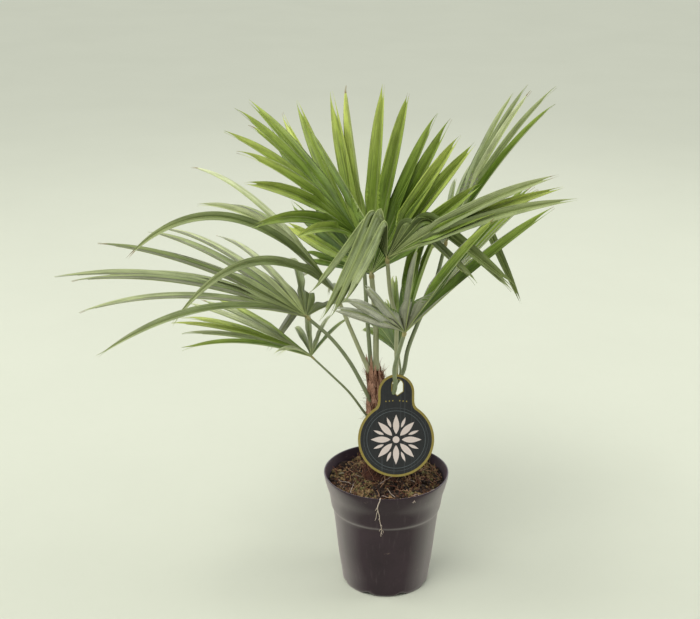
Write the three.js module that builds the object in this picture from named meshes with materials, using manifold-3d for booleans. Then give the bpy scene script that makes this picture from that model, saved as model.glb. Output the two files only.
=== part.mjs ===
// Windmill palm (Trachycarpus fortunei): a young plant in its nursery pot, with a hanging care tag.
// Millimetres, +Z up. The origin is the centre of the pot's underside. The tag hangs on the -Y side.
import * as THREE from 'three';
import { mergeVertices } from 'three/addons/utils/BufferGeometryUtils.js';
import Module from 'manifold-3d';

const wasm = await Module();
wasm.setup();
const radians = THREE.MathUtils.degToRad;
const vector = (x, y, z) => new THREE.Vector3(x, y, z);

// ---------------------------------------------------------------- driving sizes

const GAP = 0.3; // clearance between pieces that touch on the real plant

const POT_SIDES = 36;
const POT_WALL = 2;
const POT_FLOOR = 2.6; // thickness of the pot's floor
const FOOT_HEIGHT = 3.2; // the floor's channel lies this high over the standing face
const FOOT_WIDTH = 6;
const PAD_RADIUS = 17; // the middle pad stands flush with the foot ring
const DRAIN_COUNT = 8;
const DRAIN_RADIUS = 4;
const DRAIN_CIRCLE = 32;
const NOTCH_COUNT = 8;
const NOTCH_RADIUS = 9;
const NOTCH_DROP = 4.8; // the notch circles' centres lie this far under the standing face
const NOTCH_START = -70; // bearing of the first notch

// The pot's outside, foot to lip, as radius and height.
const POT_OUTSIDE = [
  [50.5, 0], [52.4, 2.5], [53.4, 10], [56.9, 34], [60.5, 67], [62.5, 85], [63.2, 96], [66.3, 101],
  [67.3, 108], [68.2, 117], [71, 124], [73, 132], [74.4, 137], [75, 140], [75, 144],
];

// The inside passes over the outside's finest steps, at these heights.
const INSIDE_SKIPS = [67, 137];
const [RIM_RADIUS, RIM_HEIGHT] = POT_OUTSIDE.at(-1);

// The soil's surface, from the pot's wall to the flat crest that carries the trunk.
const SOIL_SURFACE = [[69.8, 133], [62.2, 133.6], [50, 130.8], [40, 133.8], [31, 136.7]];
const SOIL_TOP = SOIL_SURFACE.at(-1)[1];
const SOIL_CLEARANCE = 0.36; // between the soil and the sloping wall, measured level
const SOIL_FOOT_INSET = 3; // the soil's lowest edge stays this far in from the wall

const TRUNK_FOOT = vector(-7.5, 3, SOIL_TOP + GAP);
const TRUNK_TOP = vector(-14, 3, 271);
const TRUNK_SIDES = 20;
// The trunk's radius at shares of its height: root flare, sheathed body, torn top.
const TRUNK_TAPER = [
  [0, 22], [0.04, 19], [0.1, 16.5], [0.25, 13.5], [0.45, 11.5], [0.65, 10], [0.85, 8.6], [1, 7.4],
];

const TAG_CENTRE = vector(10, -38, 203);
const TAG_LEAN = 12.8; // degrees from upright, top to the back
const TAG_RADIUS = 44.5;
const TAG_TAB = 21; // half width of the tab, and radius of its head
const TAG_HEIGHT = 77; // from the disc's centre to the head's top
const TAG_THICKNESS = 1.2;
const TAG_SHOULDER = 47; // height where the shoulder's curve meets the tab
const TAG_SHOULDER_TURN = 6; // degrees of the disc's rim that each shoulder's curve takes up
const HOLE = { centre: 1.4, width: 12.4, low: 52.5, knee: 57, top: 71 };

const STALK_SIDES = 8;
const STALK_STEPS = 9;

const PATH_STEPS = 24; // steps of a leaflet's centre line
const SPLIT = 80; // the leaflets are joined edge to edge as far as this from the hub
const PLEAT = 0.2; // how far a leaflet's edges rise over its rib, as a share of its width
const SLENDER = 0.45; // share of its width that a leaflet loses at 100 degrees of turn
const RIB = 3; // thickness over the rib
const FOLD_SHARE = 0.16; // share of the length over which a folded leaflet turns
const TWIST = 24; // most that a leaflet turns about its rib on the way to its tip, degrees
const LEAN_RATE = 2.5; // a frond's lean is reached at one over this share of a leaflet's length
// The range of a leaflet's differences: turn and lift in degrees, length and droop as shares.
const SPREAD = { turn: 2, lift: 4, length: 0.05, droop: 0.3 };
const KNOB_RADIUS = 3.6;
const KNOB_LENGTH = 10;
const KNOB_TAPER = 0.6; // share of its radius that the knob loses towards its end
const KNOB_START = 0.45; // the leaflets spring from this share of the knob's length
const ROOT_WIDTH = 3; // a leaflet's width where it springs from the knob

const CELL = 5; // leaflets of two fronds, or a leaflet and a stalk, stay at least this far apart
const OWN_STALK = 16; // a leaflet may come near its own stalk as far as this from the hub
// Turn and lift, in degrees, that are tried in this order where a leaflet would touch.
const DODGES = [
  [0, 0], [4, 0], [-4, 0], [0, 6], [0, -6], [7, 4], [-7, 4], [7, -6], [-7, -6], [0, 12], [0, -12],
  [10, 8], [-10, 8], [10, -10], [-10, -10], [0, 18], [0, -18], [14, 0], [-14, 0],
];

// Each frond: its hub, its stalk's way up to the hub, the stalk's radius at foot and hub, and the
// blade. aim is the bearing and rise of the blade's middle, roll turns the blade about it, cup lifts
// the leaflets out of the blade's plane, and lean turns each leaflet about its own rib. A fan group is
// [from, to, count, reach, droop]: its leaflets' turns in degrees, and shares of the frond's reach and
// droop. A folded leaflet is [turn, at, bearing, rise, reach]: at that share of its length it goes on
// towards the bearing.
const FRONDS = [
  {
    name: 'centre_front', hub: [-3, -70, 431], stalkRadius: [2.6, 2.2],
    stalk: [[-4, 0, 226], [6, -9, 243], [10, -17, 279], [9, -36, 318], [8, -49, 357], [1, -61, 390]],
    aim: [77, 88], roll: -35, cup: -4, lean: 0, reach: 242, droop: 0.26, width: 18, seed: 13,
    fan: [[49, 49, 1, 0.79, 0.5], [-55, -58, 2, 1.06, 1.1], [-61, -61, 1, 1.1, 1.1]],
    folded: [
      [36, 0.3, 215, -45, 0.66], [26, 0.27, 226, -55, 0.78], [14, 0.27, 226, -55, 0.76],
      [4, 0.26, 222, -52, 0.6], [-27, 0.31, 325, -32, 0.62], [-34, 0.33, 326, -31, 0.84],
      [-42, 0.36, 327, -29, 0.8],
    ],
  },
  {
    name: 'right_front', hub: [16, -75, 348], stalkRadius: [2.7, 2.3],
    stalk: [[-8, -3, 214], [0, -15, 239], [8.4, -28.2, 263], [7, -39, 291], [10, -53, 314]],
    aim: [341, 52], roll: -11, cup: 6, lean: 45, reach: 262, droop: 0.16, width: 16, seed: 14,
    fan: [
      [-68, -60, 3, 1, 1], [-42, -42, 1, 0.8, 1], [-17, -9, 2, 0.86, 1], [0, 30, 4, 0.82, 1.4],
      [50, 62, 2, 0.74, 1],
    ],
    folded: [],
  },
  {
    name: 'left_upper', hub: [-90, -46, 356], stalkRadius: [2.5, 2],
    stalk: [[-16, 0, 226], [-23, -5, 245], [-44, -15, 291], [-67, -32, 329]],
    aim: [165, 20], roll: 9, cup: 8, lean: 0, reach: 282, droop: 0.5, width: 17, seed: 11,
    fan: [
      [-94, -69, 2, 0.98, 1], [-46, -27, 2, 0.95, 0.9], [-9, 10, 2, 0.78, 0.9], [20, 38, 3, 0.85, 0.9],
      [43, 55, 3, 1.08, 0.9], [72, 72, 1, 1.42, 1.1],
    ],
    folded: [[-76, 0.45, 213, -48, 0.56]],
  },
  {
    name: 'left_lower', hub: [-85, -60, 314], stalkRadius: [1.6, 1.2],
    stalk: [[-14, -1, 204], [-26, -8, 223], [-44, -22, 255], [-64, -42, 285]],
    aim: [161, 1], roll: 16, cup: 14, lean: -20, reach: 202, droop: 0.22, width: 14, seed: 12,
    fan: [[-88, -12, 8, 0.94, 0.9], [8, 50, 3, 0.8, 1.4], [70, 70, 1, 1.03, 1.7], [92, 92, 1, 0.7, 2]],
    folded: [],
  },
  {
    name: 'back_tall', hub: [-18, 46, 374], stalkRadius: [3.6, 3],
    stalk: [[-12.6, 5.6, 271.6], [-13, 12, 288], [-13.5, 27, 324]],
    aim: [90, 85], roll: -44, cup: 0, lean: 0, reach: 228, droop: 0.02, width: 21, seed: 17,
    fan: [
      [47, 33, 3, 1.03, 1], [18, 13, 2, 0.96, 1], [-4, -25, 3, 0.97, 1], [-31, -42, 3, 1, 1],
      [-52, -66, 2, 0.94, 2], [62, 74, 2, 0.66, 2], [86, 86, 1, 0.5, 3],
    ],
    folded: [],
  },
  {
    name: 'right_back', hub: [68, 49, 413], stalkRadius: [2.7, 2.2],
    stalk: [[-6, 5, 238], [8, 4, 253], [19, 3, 272], [24, 8, 297], [36, 20, 326], [55, 37, 366]],
    aim: [2, 63], roll: -3, cup: 1, lean: 34, reach: 230, droop: 0.36, width: 16, seed: 19,
    fan: [[112, 60, 5, 0.9, 1.2], [44, 27, 2, 0.9, 0.9], [12, 2, 2, 0.88, 1], [-12, -24, 2, 1, 1]],
    folded: [[-42, 0.38, 4, -65, 0.94]],
  },
  {
    name: 'back_left', hub: [-30, 35, 420], stalkRadius: [2.6, 2.2],
    stalk: [[-18.6, 8.6, 271.6], [-21, 17, 300], [-24, 24, 340], [-27, 31, 388]],
    aim: [177, 52], roll: 3, cup: -2, lean: -35, reach: 236, droop: 0.33, width: 17, seed: 16,
    fan: [
      [-24, -24, 1, 0.93, 0.8], [-11, -11, 1, 0.8, 0.9], [1, 1, 1, 0.9, 0.9], [14, 26, 2, 0.9, 1.2],
      [38, 38, 1, 0.9, 1.5], [52, 52, 1, 1.06, 1.8], [68, 68, 1, 0.95, 1.3],
    ],
    folded: [],
  },
  {
    name: 'left_mid', hub: [-59, 17, 361], stalkRadius: [2.7, 2.2],
    stalk: [[-20.2, 1, 271.6], [-25, 4, 281], [-41, 9, 318]],
    aim: [170, 52], roll: 16, cup: -3, lean: -35, reach: 300, droop: 0.75, width: 17, seed: 18,
    fan: [
      [-95, -66, 3, 0.9, 0.6], [-50, -50, 1, 0.97, 0.9], [-29, -29, 1, 0.92, 0.8],
      [8, 8, 1, 0.66, 1.3], [30, 30, 1, 1.02, 1.9], [53, 53, 1, 1.05, 1.75],
    ],
    folded: [],
  },
  {
    name: 'right_lower', hub: [13, -14, 297], stalkRadius: [1.5, 1.2],
    stalk: [[-3.5, 4, 230], [9, -2.5, 252], [15, -9, 275]],
    aim: [38, 54], roll: -30, cup: 6, lean: 15, reach: 196, droop: 0.5, width: 14, seed: 15,
    fan: [[84, 64, 3, 1, 0.8], [48, 8, 4, 0.92, 1], [-4, -14, 2, 0.86, 1.3]],
    folded: [],
  },
];

const material = (color, roughness) => new THREE.MeshStandardMaterial({ color, roughness, metalness: 0 });
const MATERIALS = {
  pot: material(0x2b2526, 0.5),
  soil: material(0x4a3526, 0.95),
  trunk: material(0x7a4c33, 0.9),
  tag: material(0x23292c, 0.35),
  stalk: material(0x8f9a68, 0.55),
  frond: material(0x6c8a52, 0.5),
};

// ---------------------------------------------------------------- closed bodies

// Joins rings of points to one closed body. Each ring runs anticlockwise about the way the rings
// go, capFaces closes both ends, and a last ring of one point is a sharp tip.
function ringBody(rings, capFaces) {
  const starts = [];
  let total = 0;
  for (const ring of rings) {
    starts.push(total);
    total += ring.length;
  }
  const faces = capFaces.map(([a, b, c]) => [a, c, b]);
  for (let i = 0; i + 1 < rings.length; i++) {
    const count = rings[i].length;
    for (let j = 0; j < count; j++) {
      const a = starts[i] + j;
      const b = starts[i] + (j + 1) % count;
      if (rings[i + 1].length === 1) {
        faces.push([a, b, starts[i + 1]]);
        continue;
      }
      const c = starts[i + 1] + j;
      const d = starts[i + 1] + (j + 1) % count;
      faces.push([a, b, d], [a, d, c]);
    }
  }
  const last = starts.at(-1);
  if (rings.at(-1).length > 1) {
    faces.push(...capFaces.map((face) => face.map((index) => last + index)));
  }
  const geometry = new THREE.BufferGeometry();
  const flat = rings.flat().flatMap((point) => point.toArray());
  geometry.setAttribute('position', new THREE.Float32BufferAttribute(flat, 3));
  geometry.setIndex(faces.flat());
  return geometry;
}

const roundCap = (sides) => Array.from({ length: sides - 2 }, (_, k) => [0, k + 1, k + 2]);

function toSolid(geometry) {
  const bare = geometry.clone();
  bare.deleteAttribute('normal');
  bare.deleteAttribute('uv');
  const merged = mergeVertices(bare, 1e-4);
  return new wasm.Manifold(new wasm.Mesh({
    numProp: 3,
    vertProperties: new Float32Array(merged.attributes.position.array),
    triVerts: new Uint32Array(merged.index.array),
  }));
}

// The largest body of a solid: a scrap that a cut leaves loose is dropped.
function toGeometry(solid) {
  const bodies = solid.decompose().sort((a, b) => b.volume() - a.volume());
  const mesh = bodies[0].getMesh();
  const geometry = new THREE.BufferGeometry();
  geometry.setAttribute('position', new THREE.Float32BufferAttribute(mesh.vertProperties, 3));
  geometry.setIndex([...mesh.triVerts]);
  return geometry;
}

const lathe = (profile, sides) => {
  const points = profile.map(([radius, height]) => new THREE.Vector2(radius, height));
  return new THREE.LatheGeometry(points, sides).rotateX(Math.PI / 2);
};

// A round limb along a curve, its radius given by a function of the share of its length.
function limb(curve, radiusAt, steps, sides) {
  const rings = [];
  let side = null;
  for (let i = 0; i <= steps; i++) {
    const share = i / steps;
    const along = curve.getTangentAt(share);
    side = side ?? along.clone().cross(vector(0, 1, 0)).normalize();
    side = side.clone().addScaledVector(along, -side.dot(along)).normalize();
    const up = along.clone().cross(side);
    const centre = curve.getPointAt(share);
    rings.push(Array.from({ length: sides }, (_, k) => {
      const angle = 2 * Math.PI * k / sides;
      return centre.clone()
        .addScaledVector(side, Math.cos(angle) * radiusAt(share))
        .addScaledVector(up, Math.sin(angle) * radiusAt(share));
    }));
  }
  return ringBody(rings, roundCap(sides));
}

// ---------------------------------------------------------------- pot and soil

// The inside follows the outside at the wall's thickness.
const floorTop = FOOT_HEIGHT + POT_FLOOR;
const potInside = POT_OUTSIDE
  .filter(([, height]) => height > floorTop && !INSIDE_SKIPS.includes(height))
  .map(([radius, height]) => [radius - POT_WALL, height]);

function potSolid() {
  const footInside = POT_OUTSIDE[0][0] - FOOT_WIDTH;
  const profile = [
    [0, 0], [PAD_RADIUS, 0], [PAD_RADIUS + 1, FOOT_HEIGHT], [footInside - 1, FOOT_HEIGHT],
    [footInside, 0], ...POT_OUTSIDE, ...potInside.toReversed(), [POT_OUTSIDE[0][0], floorTop],
    [0, floorTop],
  ];
  let pot = toSolid(lathe(profile, POT_SIDES));
  for (let k = 0; k < DRAIN_COUNT; k++) {
    const drain = new THREE.CylinderGeometry(DRAIN_RADIUS, DRAIN_RADIUS, 3 * floorTop, 12);
    drain.rotateX(Math.PI / 2).translate(DRAIN_CIRCLE, 0, 0).rotateZ(2 * Math.PI * k / DRAIN_COUNT);
    pot = pot.subtract(toSolid(drain));
  }
  for (let k = 0; k < NOTCH_COUNT; k++) {
    const bearing = radians(NOTCH_START + 360 * k / NOTCH_COUNT);
    const notch = new THREE.CylinderGeometry(NOTCH_RADIUS, NOTCH_RADIUS, 2 * FOOT_WIDTH, 20);
    notch.rotateZ(Math.PI / 2).translate(POT_OUTSIDE[0][0], 0, -NOTCH_DROP).rotateZ(bearing);
    pot = pot.subtract(toSolid(notch));
  }
  return pot;
}

function soilGeometry() {
  const side = potInside.filter(([radius]) => radius < SOIL_SURFACE[0][0])
    .map(([radius, height]) => [radius - SOIL_CLEARANCE, height]);
  const floor = floorTop + GAP;
  return lathe([
    [0, floor], [side[0][0] - SOIL_FOOT_INSET, floor], ...side, ...SOIL_SURFACE, [0, SOIL_TOP],
  ], POT_SIDES);
}

// ---------------------------------------------------------------- trunk

function trunkRadius(share) {
  const next = TRUNK_TAPER.findIndex(([at]) => at >= share);
  if (next <= 0) return TRUNK_TAPER[0][1];
  const [from, low] = TRUNK_TAPER[next - 1];
  const [to, high] = TRUNK_TAPER[next];
  return low + (high - low) * (share - from) / (to - from);
}

const trunkAxis = (share) => TRUNK_FOOT.clone().lerp(TRUNK_TOP, share);

// Level rings keep both ends flat. grow widens the trunk, to cut its neighbours clear of it.
function trunkGeometry(grow = 0) {
  const rings = TRUNK_TAPER.map(([share]) => {
    const lift = grow * (share * 2 - 1);
    return Array.from({ length: TRUNK_SIDES }, (_, k) => {
      const angle = 2 * Math.PI * k / TRUNK_SIDES;
      const radius = trunkRadius(share) + grow;
      return trunkAxis(share).add(vector(radius * Math.cos(angle), radius * Math.sin(angle), lift));
    });
  });
  return ringBody(rings, roundCap(TRUNK_SIDES));
}

// ---------------------------------------------------------------- stalks

const stalkCurve = (frond) => new THREE.CatmullRomCurve3(
  [...frond.stalk, frond.hub].map((point) => vector(...point)), false, 'centripetal',
);

function stalkGeometry(frond, grow = 0) {
  const [foot, tip] = frond.stalkRadius;
  return limb(stalkCurve(frond), (share) => foot + (tip - foot) * share + grow, STALK_STEPS, STALK_SIDES);
}

// ---------------------------------------------------------------- leaflets

// The line of the knob at the stalk's end that the leaflets spring from.
function knobLine(frond) {
  const along = stalkCurve(frond).getTangentAt(1);
  const foot = vector(...frond.hub).addScaledVector(along, GAP);
  return new THREE.LineCurve3(foot, foot.clone().addScaledVector(along, KNOB_LENGTH));
}

// The knob's flat foot faces the stalk.
function knobGeometry(frond) {
  return limb(knobLine(frond), (share) => KNOB_RADIUS * (1 - KNOB_TAPER * share), 2, STALK_SIDES);
}

// A repeatable stream of numbers from 0 to 1.
function stream(seed) {
  let state = seed;
  return () => {
    state = (Math.imul(state, 1664525) + 1013904223) >>> 0;
    return state / 4294967296;
  };
}

function towards(bearing, rise) {
  const [b, e] = [radians(bearing), radians(rise)];
  return vector(Math.cos(e) * Math.cos(b), Math.cos(e) * Math.sin(b), Math.sin(e));
}

const easeInOut = (t) => t * t * (3 - 2 * t);

// The leaflets of a frond with their seeded differences, before any dodge.
function leafletsOf(frond) {
  const next = stream(frond.seed);
  const list = [];
  for (const [from, to, count, reach, droop] of frond.fan) {
    for (let i = 0; i < count; i++) {
      list.push({ turn: from + (to - from) * i / Math.max(1, count - 1), reach, droop, fold: null });
    }
  }
  for (const [turn, at, bearing, rise, reach] of frond.folded) {
    list.push({ turn, reach, droop: 1, fold: { at, way: towards(bearing, rise) } });
  }
  return list.map((leaf) => ({
    turn: leaf.turn + SPREAD.turn * (next() - 0.5),
    lift: frond.cup + SPREAD.lift * (next() - 0.5),
    length: frond.reach * leaf.reach * (1 + SPREAD.length * (next() - 0.5)),
    droop: frond.droop * leaf.droop * (1 + SPREAD.droop * (next() - 0.5)),
    twist: TWIST * 2 * (next() - 0.5),
    width: frond.width * (1 - SLENDER * (leaf.turn / 100) ** 2),
    fold: leaf.fold,
  }));
}

// The centre line of a leaflet from its frond's hub, with the blade's side and upper direction.
function leafletPath(frond, leaf, [turn, lift]) {
  const ahead = towards(...frond.aim);
  const level = towards(frond.aim[0] + 90, 0);
  const across = level.clone().applyAxisAngle(ahead, radians(frond.roll));
  const upper = ahead.clone().cross(across);
  const phi = radians(leaf.turn + turn);
  const cup = radians(leaf.lift + lift);
  const start = ahead.clone().multiplyScalar(Math.cos(phi)).addScaledVector(across, Math.sin(phi))
    .multiplyScalar(Math.cos(cup)).addScaledVector(upper, Math.sin(cup));
  const broad = across.clone().multiplyScalar(Math.cos(phi)).addScaledVector(ahead, -Math.sin(phi));
  const step = leaf.length / PATH_STEPS;
  const at = knobLine(frond).getPoint(KNOB_START);
  const path = [];
  for (let i = 0; i <= PATH_STEPS; i++) {
    const share = i / PATH_STEPS;
    const along = start.clone();
    if (leaf.fold) {
      const t = THREE.MathUtils.clamp((share - leaf.fold.at) / FOLD_SHARE + 0.5, 0, 1);
      along.lerp(leaf.fold.way, easeInOut(t));
    } else {
      along.z -= leaf.droop * share ** 1.5;
    }
    along.normalize();
    const side = broad.clone().addScaledVector(along, -broad.dot(along)).normalize();
    side.applyAxisAngle(along, radians(leaf.twist * share + frond.lean * Math.min(1, share * LEAN_RATE)));
    path.push({ point: at.clone(), side, up: along.clone().cross(side), from: i * step });
    at.addScaledVector(along, step);
  }
  return path;
}

// Width at a distance from the hub: a wedge as far as the split, then a long taper to the tip.
function bladeWidth(leaf, from) {
  const past = Math.max(0, (from - SPLIT) / (leaf.length - SPLIT));
  const wedge = leaf.width * Math.min(1, from / SPLIT) * (1 - 0.15 * past - 0.85 * past ** 4);
  return from < SPLIT ? Math.max(ROOT_WIDTH, wedge) : wedge;
}

const CHEVRON_CAP = [[0, 1, 3], [1, 2, 3]];
const STRAIGHT_STATIONS = [0, 7, 12, 17, 21, 24];
const FOLDED_STATIONS = [0, 5, 7, 9, 14, 20, 24];

function leafletGeometry(leaf, path) {
  const stations = leaf.fold ? FOLDED_STATIONS : STRAIGHT_STATIONS;
  const rings = stations.map((index) => {
    const { point, side, up, from } = path[index];
    if (index === PATH_STEPS) return [point];
    const half = bladeWidth(leaf, from) / 2;
    const rise = 2 * half * PLEAT;
    const edge = (way) => point.clone().addScaledVector(side, way * half).addScaledVector(up, rise);
    const rib = (way) => point.clone().addScaledVector(up, way * RIB / 2);
    return [edge(1), rib(1), edge(-1), rib(-1)];
  });
  return ringBody(rings, CHEVRON_CAP);
}

// ---------------------------------------------------------------- keeping apart

const cellOf = (point) => [point.x, point.y, point.z].map((value) => Math.floor(value / CELL) + 512);
const cellKey = (i, j, k) => (i * 1024 + j) * 1024 + k;

// The space that is taken, as a set of cells with a border one cell wide round each point.
class TakenSpace {
  cells = new Set();

  add(points) {
    for (const point of points) {
      const [i, j, k] = cellOf(point);
      for (let di = -1; di <= 1; di++) {
        for (let dj = -1; dj <= 1; dj++) {
          for (let dk = -1; dk <= 1; dk++) this.cells.add(cellKey(i + di, j + dj, k + dk));
        }
      }
    }
  }

  meets(points) {
    return points.some((point) => this.cells.has(cellKey(...cellOf(point))));
  }
}

// Points all over a leaflet's blade, at most about half a cell apart.
function bladePoints(leaf, path, fromHub) {
  const points = [];
  for (let i = 0; i + 1 < path.length; i++) {
    for (let part = 0; part < 5; part++) {
      const t = part / 5;
      const from = path[i].from + t * (path[i + 1].from - path[i].from);
      if (from < fromHub) continue;
      const half = bladeWidth(leaf, from) / 2;
      const centre = path[i].point.clone().lerp(path[i + 1].point, t);
      for (const way of [-1, -0.5, 0, 0.5, 1]) {
        points.push(centre.clone().addScaledVector(path[i].side, way * half)
          .addScaledVector(path[i].up, Math.abs(way) * 2 * half * PLEAT));
      }
    }
  }
  return points;
}

function limbPoints(curve, radiusAt) {
  const steps = Math.ceil(curve.getLength() / 2.5);
  const points = [];
  for (let i = 0; i <= steps; i++) {
    const centre = curve.getPointAt(i / steps);
    const radius = radiusAt(i / steps);
    points.push(centre);
    for (let k = 0; k < 6; k++) {
      const angle = Math.PI * k / 3;
      points.push(centre.clone().add(vector(radius * Math.cos(angle), radius * Math.sin(angle), 0)));
    }
  }
  return points;
}

function tagPoints() {
  const points = [];
  for (let u = -TAG_RADIUS; u <= TAG_RADIUS; u += 2.5) {
    for (let v = -TAG_RADIUS; v <= TAG_HEIGHT; v += 2.5) {
      const onDisc = Math.hypot(u, v) <= TAG_RADIUS;
      if (onDisc || (Math.abs(u) <= TAG_TAB && v > 0)) points.push(onTag(u, v));
    }
  }
  return points;
}

const overPot = (point) => point.z < RIM_HEIGHT + CELL
  && Math.hypot(point.x, point.y) < RIM_RADIUS + CELL;

// Grows the leaflets of all fronds in turn. One that would touch a stalk, the trunk, the tag, the
// pot or another frond is turned or lifted a little, and left out where no dodge clears it.
function growLeaflets() {
  const taken = new TakenSpace();
  for (const frond of FRONDS) {
    taken.add(limbPoints(stalkCurve(frond), () => Math.max(...frond.stalkRadius)));
  }
  taken.add(limbPoints(new THREE.LineCurve3(TRUNK_FOOT, TRUNK_TOP), trunkRadius));
  taken.add(tagPoints());
  const grown = new Map();
  for (const frond of FRONDS) {
    const kept = [];
    for (const leaf of leafletsOf(frond)) {
      for (const dodge of DODGES) {
        const path = leafletPath(frond, leaf, dodge);
        const points = bladePoints(leaf, path, OWN_STALK);
        if (points.some(overPot) || taken.meets(points)) continue;
        kept.push({ leaf, path });
        break;
      }
    }
    for (const { leaf, path } of kept) taken.add(bladePoints(leaf, path, 0));
    grown.set(frond.name, kept);
  }
  return grown;
}

// ---------------------------------------------------------------- fronds

function frondSolid(frond, kept) {
  const parts = kept.map(({ leaf, path }) => toSolid(leafletGeometry(leaf, path)));
  const blade = wasm.Manifold.union([toSolid(knobGeometry(frond)), ...parts]);
  return blade.subtract(toSolid(stalkGeometry(frond, GAP)));
}

// ---------------------------------------------------------------- tag

// A point of the tag's face, from its disc's centre: u to the right, v up along the tag.
function onTag(u, v) {
  const lean = radians(TAG_LEAN);
  return TAG_CENTRE.clone().add(vector(u, v * Math.sin(lean), v * Math.cos(lean)));
}

function tagOutline() {
  const join = Math.acos(TAG_TAB / TAG_RADIUS); // where the tab's edges would meet the rim
  const start = join - radians(TAG_SHOULDER_TURN);
  const bend = TAG_RADIUS * Math.sin(join) + 1; // height that both shoulders' curves bend at
  const shape = new THREE.Shape();
  shape.absarc(0, 0, TAG_RADIUS, start, Math.PI - start, true);
  shape.quadraticCurveTo(-TAG_TAB, bend, -TAG_TAB, TAG_SHOULDER);
  shape.absarc(0, TAG_HEIGHT - TAG_TAB, TAG_TAB, Math.PI, 0, true);
  shape.lineTo(TAG_TAB, TAG_SHOULDER);
  shape.quadraticCurveTo(
    TAG_TAB, bend, TAG_RADIUS * Math.cos(start), TAG_RADIUS * Math.sin(start),
  );
  const half = HOLE.width / 2;
  const hole = new THREE.Path();
  hole.moveTo(HOLE.centre - half, HOLE.knee);
  hole.lineTo(HOLE.centre, HOLE.low);
  hole.lineTo(HOLE.centre + half, HOLE.knee);
  hole.lineTo(HOLE.centre + half, HOLE.top - half);
  hole.absarc(HOLE.centre, HOLE.top - half, half, 0, Math.PI, false);
  hole.closePath();
  shape.holes.push(hole);
  return shape;
}

// The tag hangs on the stalks that pass through its hole, which keep their gap to its edge.
function tagSolid() {
  const blank = new THREE.ExtrudeGeometry(tagOutline(), {
    depth: TAG_THICKNESS, bevelEnabled: false, curveSegments: 20,
  });
  blank.translate(0, 0, -TAG_THICKNESS / 2).rotateX(radians(90 - TAG_LEAN)).translate(...TAG_CENTRE);
  return FRONDS.reduce(
    (tag, frond) => tag.subtract(toSolid(stalkGeometry(frond, GAP))), toSolid(blank),
  );
}

// ---------------------------------------------------------------- the plant

const group = new THREE.Group();

function addPiece(name, geometry, look) {
  const mesh = new THREE.Mesh(geometry, look);
  mesh.name = name;
  group.add(mesh);
}

addPiece('pot', toGeometry(potSolid()), MATERIALS.pot);
addPiece('soil', soilGeometry(), MATERIALS.soil);
addPiece('trunk', trunkGeometry(), MATERIALS.trunk);
addPiece('tag', toGeometry(tagSolid()), MATERIALS.tag);

const trunkClear = toSolid(trunkGeometry(GAP));
const grown = growLeaflets();
for (const frond of FRONDS) {
  const stalk = toSolid(stalkGeometry(frond)).subtract(trunkClear);
  addPiece(`stalk_${frond.name}`, toGeometry(stalk), MATERIALS.stalk);
  addPiece(`frond_${frond.name}`, toGeometry(frondSolid(frond, grown.get(frond.name))), MATERIALS.frond);
}

export default group;
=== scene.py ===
"""A young windmill palm in its nursery pot, with a round care tag hanging in front.

Metres, +Z up, the tag on the -Y side. The plant's own sizes are written in millimetres, as a grower
measures them, and become metres where a mesh is made.
"""

import math
import random

import bmesh
import bpy
import numpy as np
from mathutils import Matrix, Vector, noise


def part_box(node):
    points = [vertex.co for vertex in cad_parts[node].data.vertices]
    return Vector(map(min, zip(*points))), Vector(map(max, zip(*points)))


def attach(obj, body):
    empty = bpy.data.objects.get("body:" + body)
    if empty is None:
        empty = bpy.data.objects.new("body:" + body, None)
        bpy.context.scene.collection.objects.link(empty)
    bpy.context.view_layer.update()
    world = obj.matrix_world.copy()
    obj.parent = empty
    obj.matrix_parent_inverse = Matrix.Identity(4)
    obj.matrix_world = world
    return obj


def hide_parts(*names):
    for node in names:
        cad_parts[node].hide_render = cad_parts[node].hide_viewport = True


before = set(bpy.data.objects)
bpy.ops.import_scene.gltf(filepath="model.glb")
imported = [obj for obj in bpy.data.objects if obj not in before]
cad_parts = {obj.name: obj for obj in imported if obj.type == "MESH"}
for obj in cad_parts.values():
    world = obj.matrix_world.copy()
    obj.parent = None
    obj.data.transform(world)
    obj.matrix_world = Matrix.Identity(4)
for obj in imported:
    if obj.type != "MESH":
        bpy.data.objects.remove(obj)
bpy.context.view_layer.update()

MM = 0.001
BODY = "root"
FULL_TURN = 2 * math.pi

# ---------------------------------------------------------------- camera, light and floor

CAMERA_PLACE = (-0.04374, -1.5, 0.8935)
CAMERA_DIP = 19.9  # degrees below level
CAMERA_LENS = 70.95
CAMERA_SENSOR = 36
FLOOR_SIZE = 60
AIR_COLOUR = (0.96, 0.98, 1, 1)
AIR_POWER = 0.54

# The broad key light: the way it shines, its spread in degrees and its power.
KEY_WAY = (0.32, 0.5, -1)
KEY_SPREAD = 34
KEY_POWER = 1.7
LIGHT_AIM = (0, 0, 0.33)  # the soft lights point at the plant's middle
# Each soft light: name, place, width, height, power in watts.
SOFTBOXES = [
    ("softbox_left", (-1.9, 0.3, 1.5), 1.2, 1.4, 17),
    ("softbox_right", (1.9, 0.2, 1.5), 1.1, 1.4, 14),
    ("softbox_behind", (0.3, 1.7, 1.5), 1.6, 1.2, 6),
]


def place_camera():
    data = bpy.data.cameras.new("studio_camera")
    data.lens = CAMERA_LENS
    data.sensor_width = CAMERA_SENSOR
    camera = bpy.data.objects.new("studio_camera", data)
    camera.location = CAMERA_PLACE
    camera.rotation_euler = (math.radians(90 - CAMERA_DIP), 0, 0)
    bpy.context.scene.collection.objects.link(camera)
    bpy.context.scene.camera = camera


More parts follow.
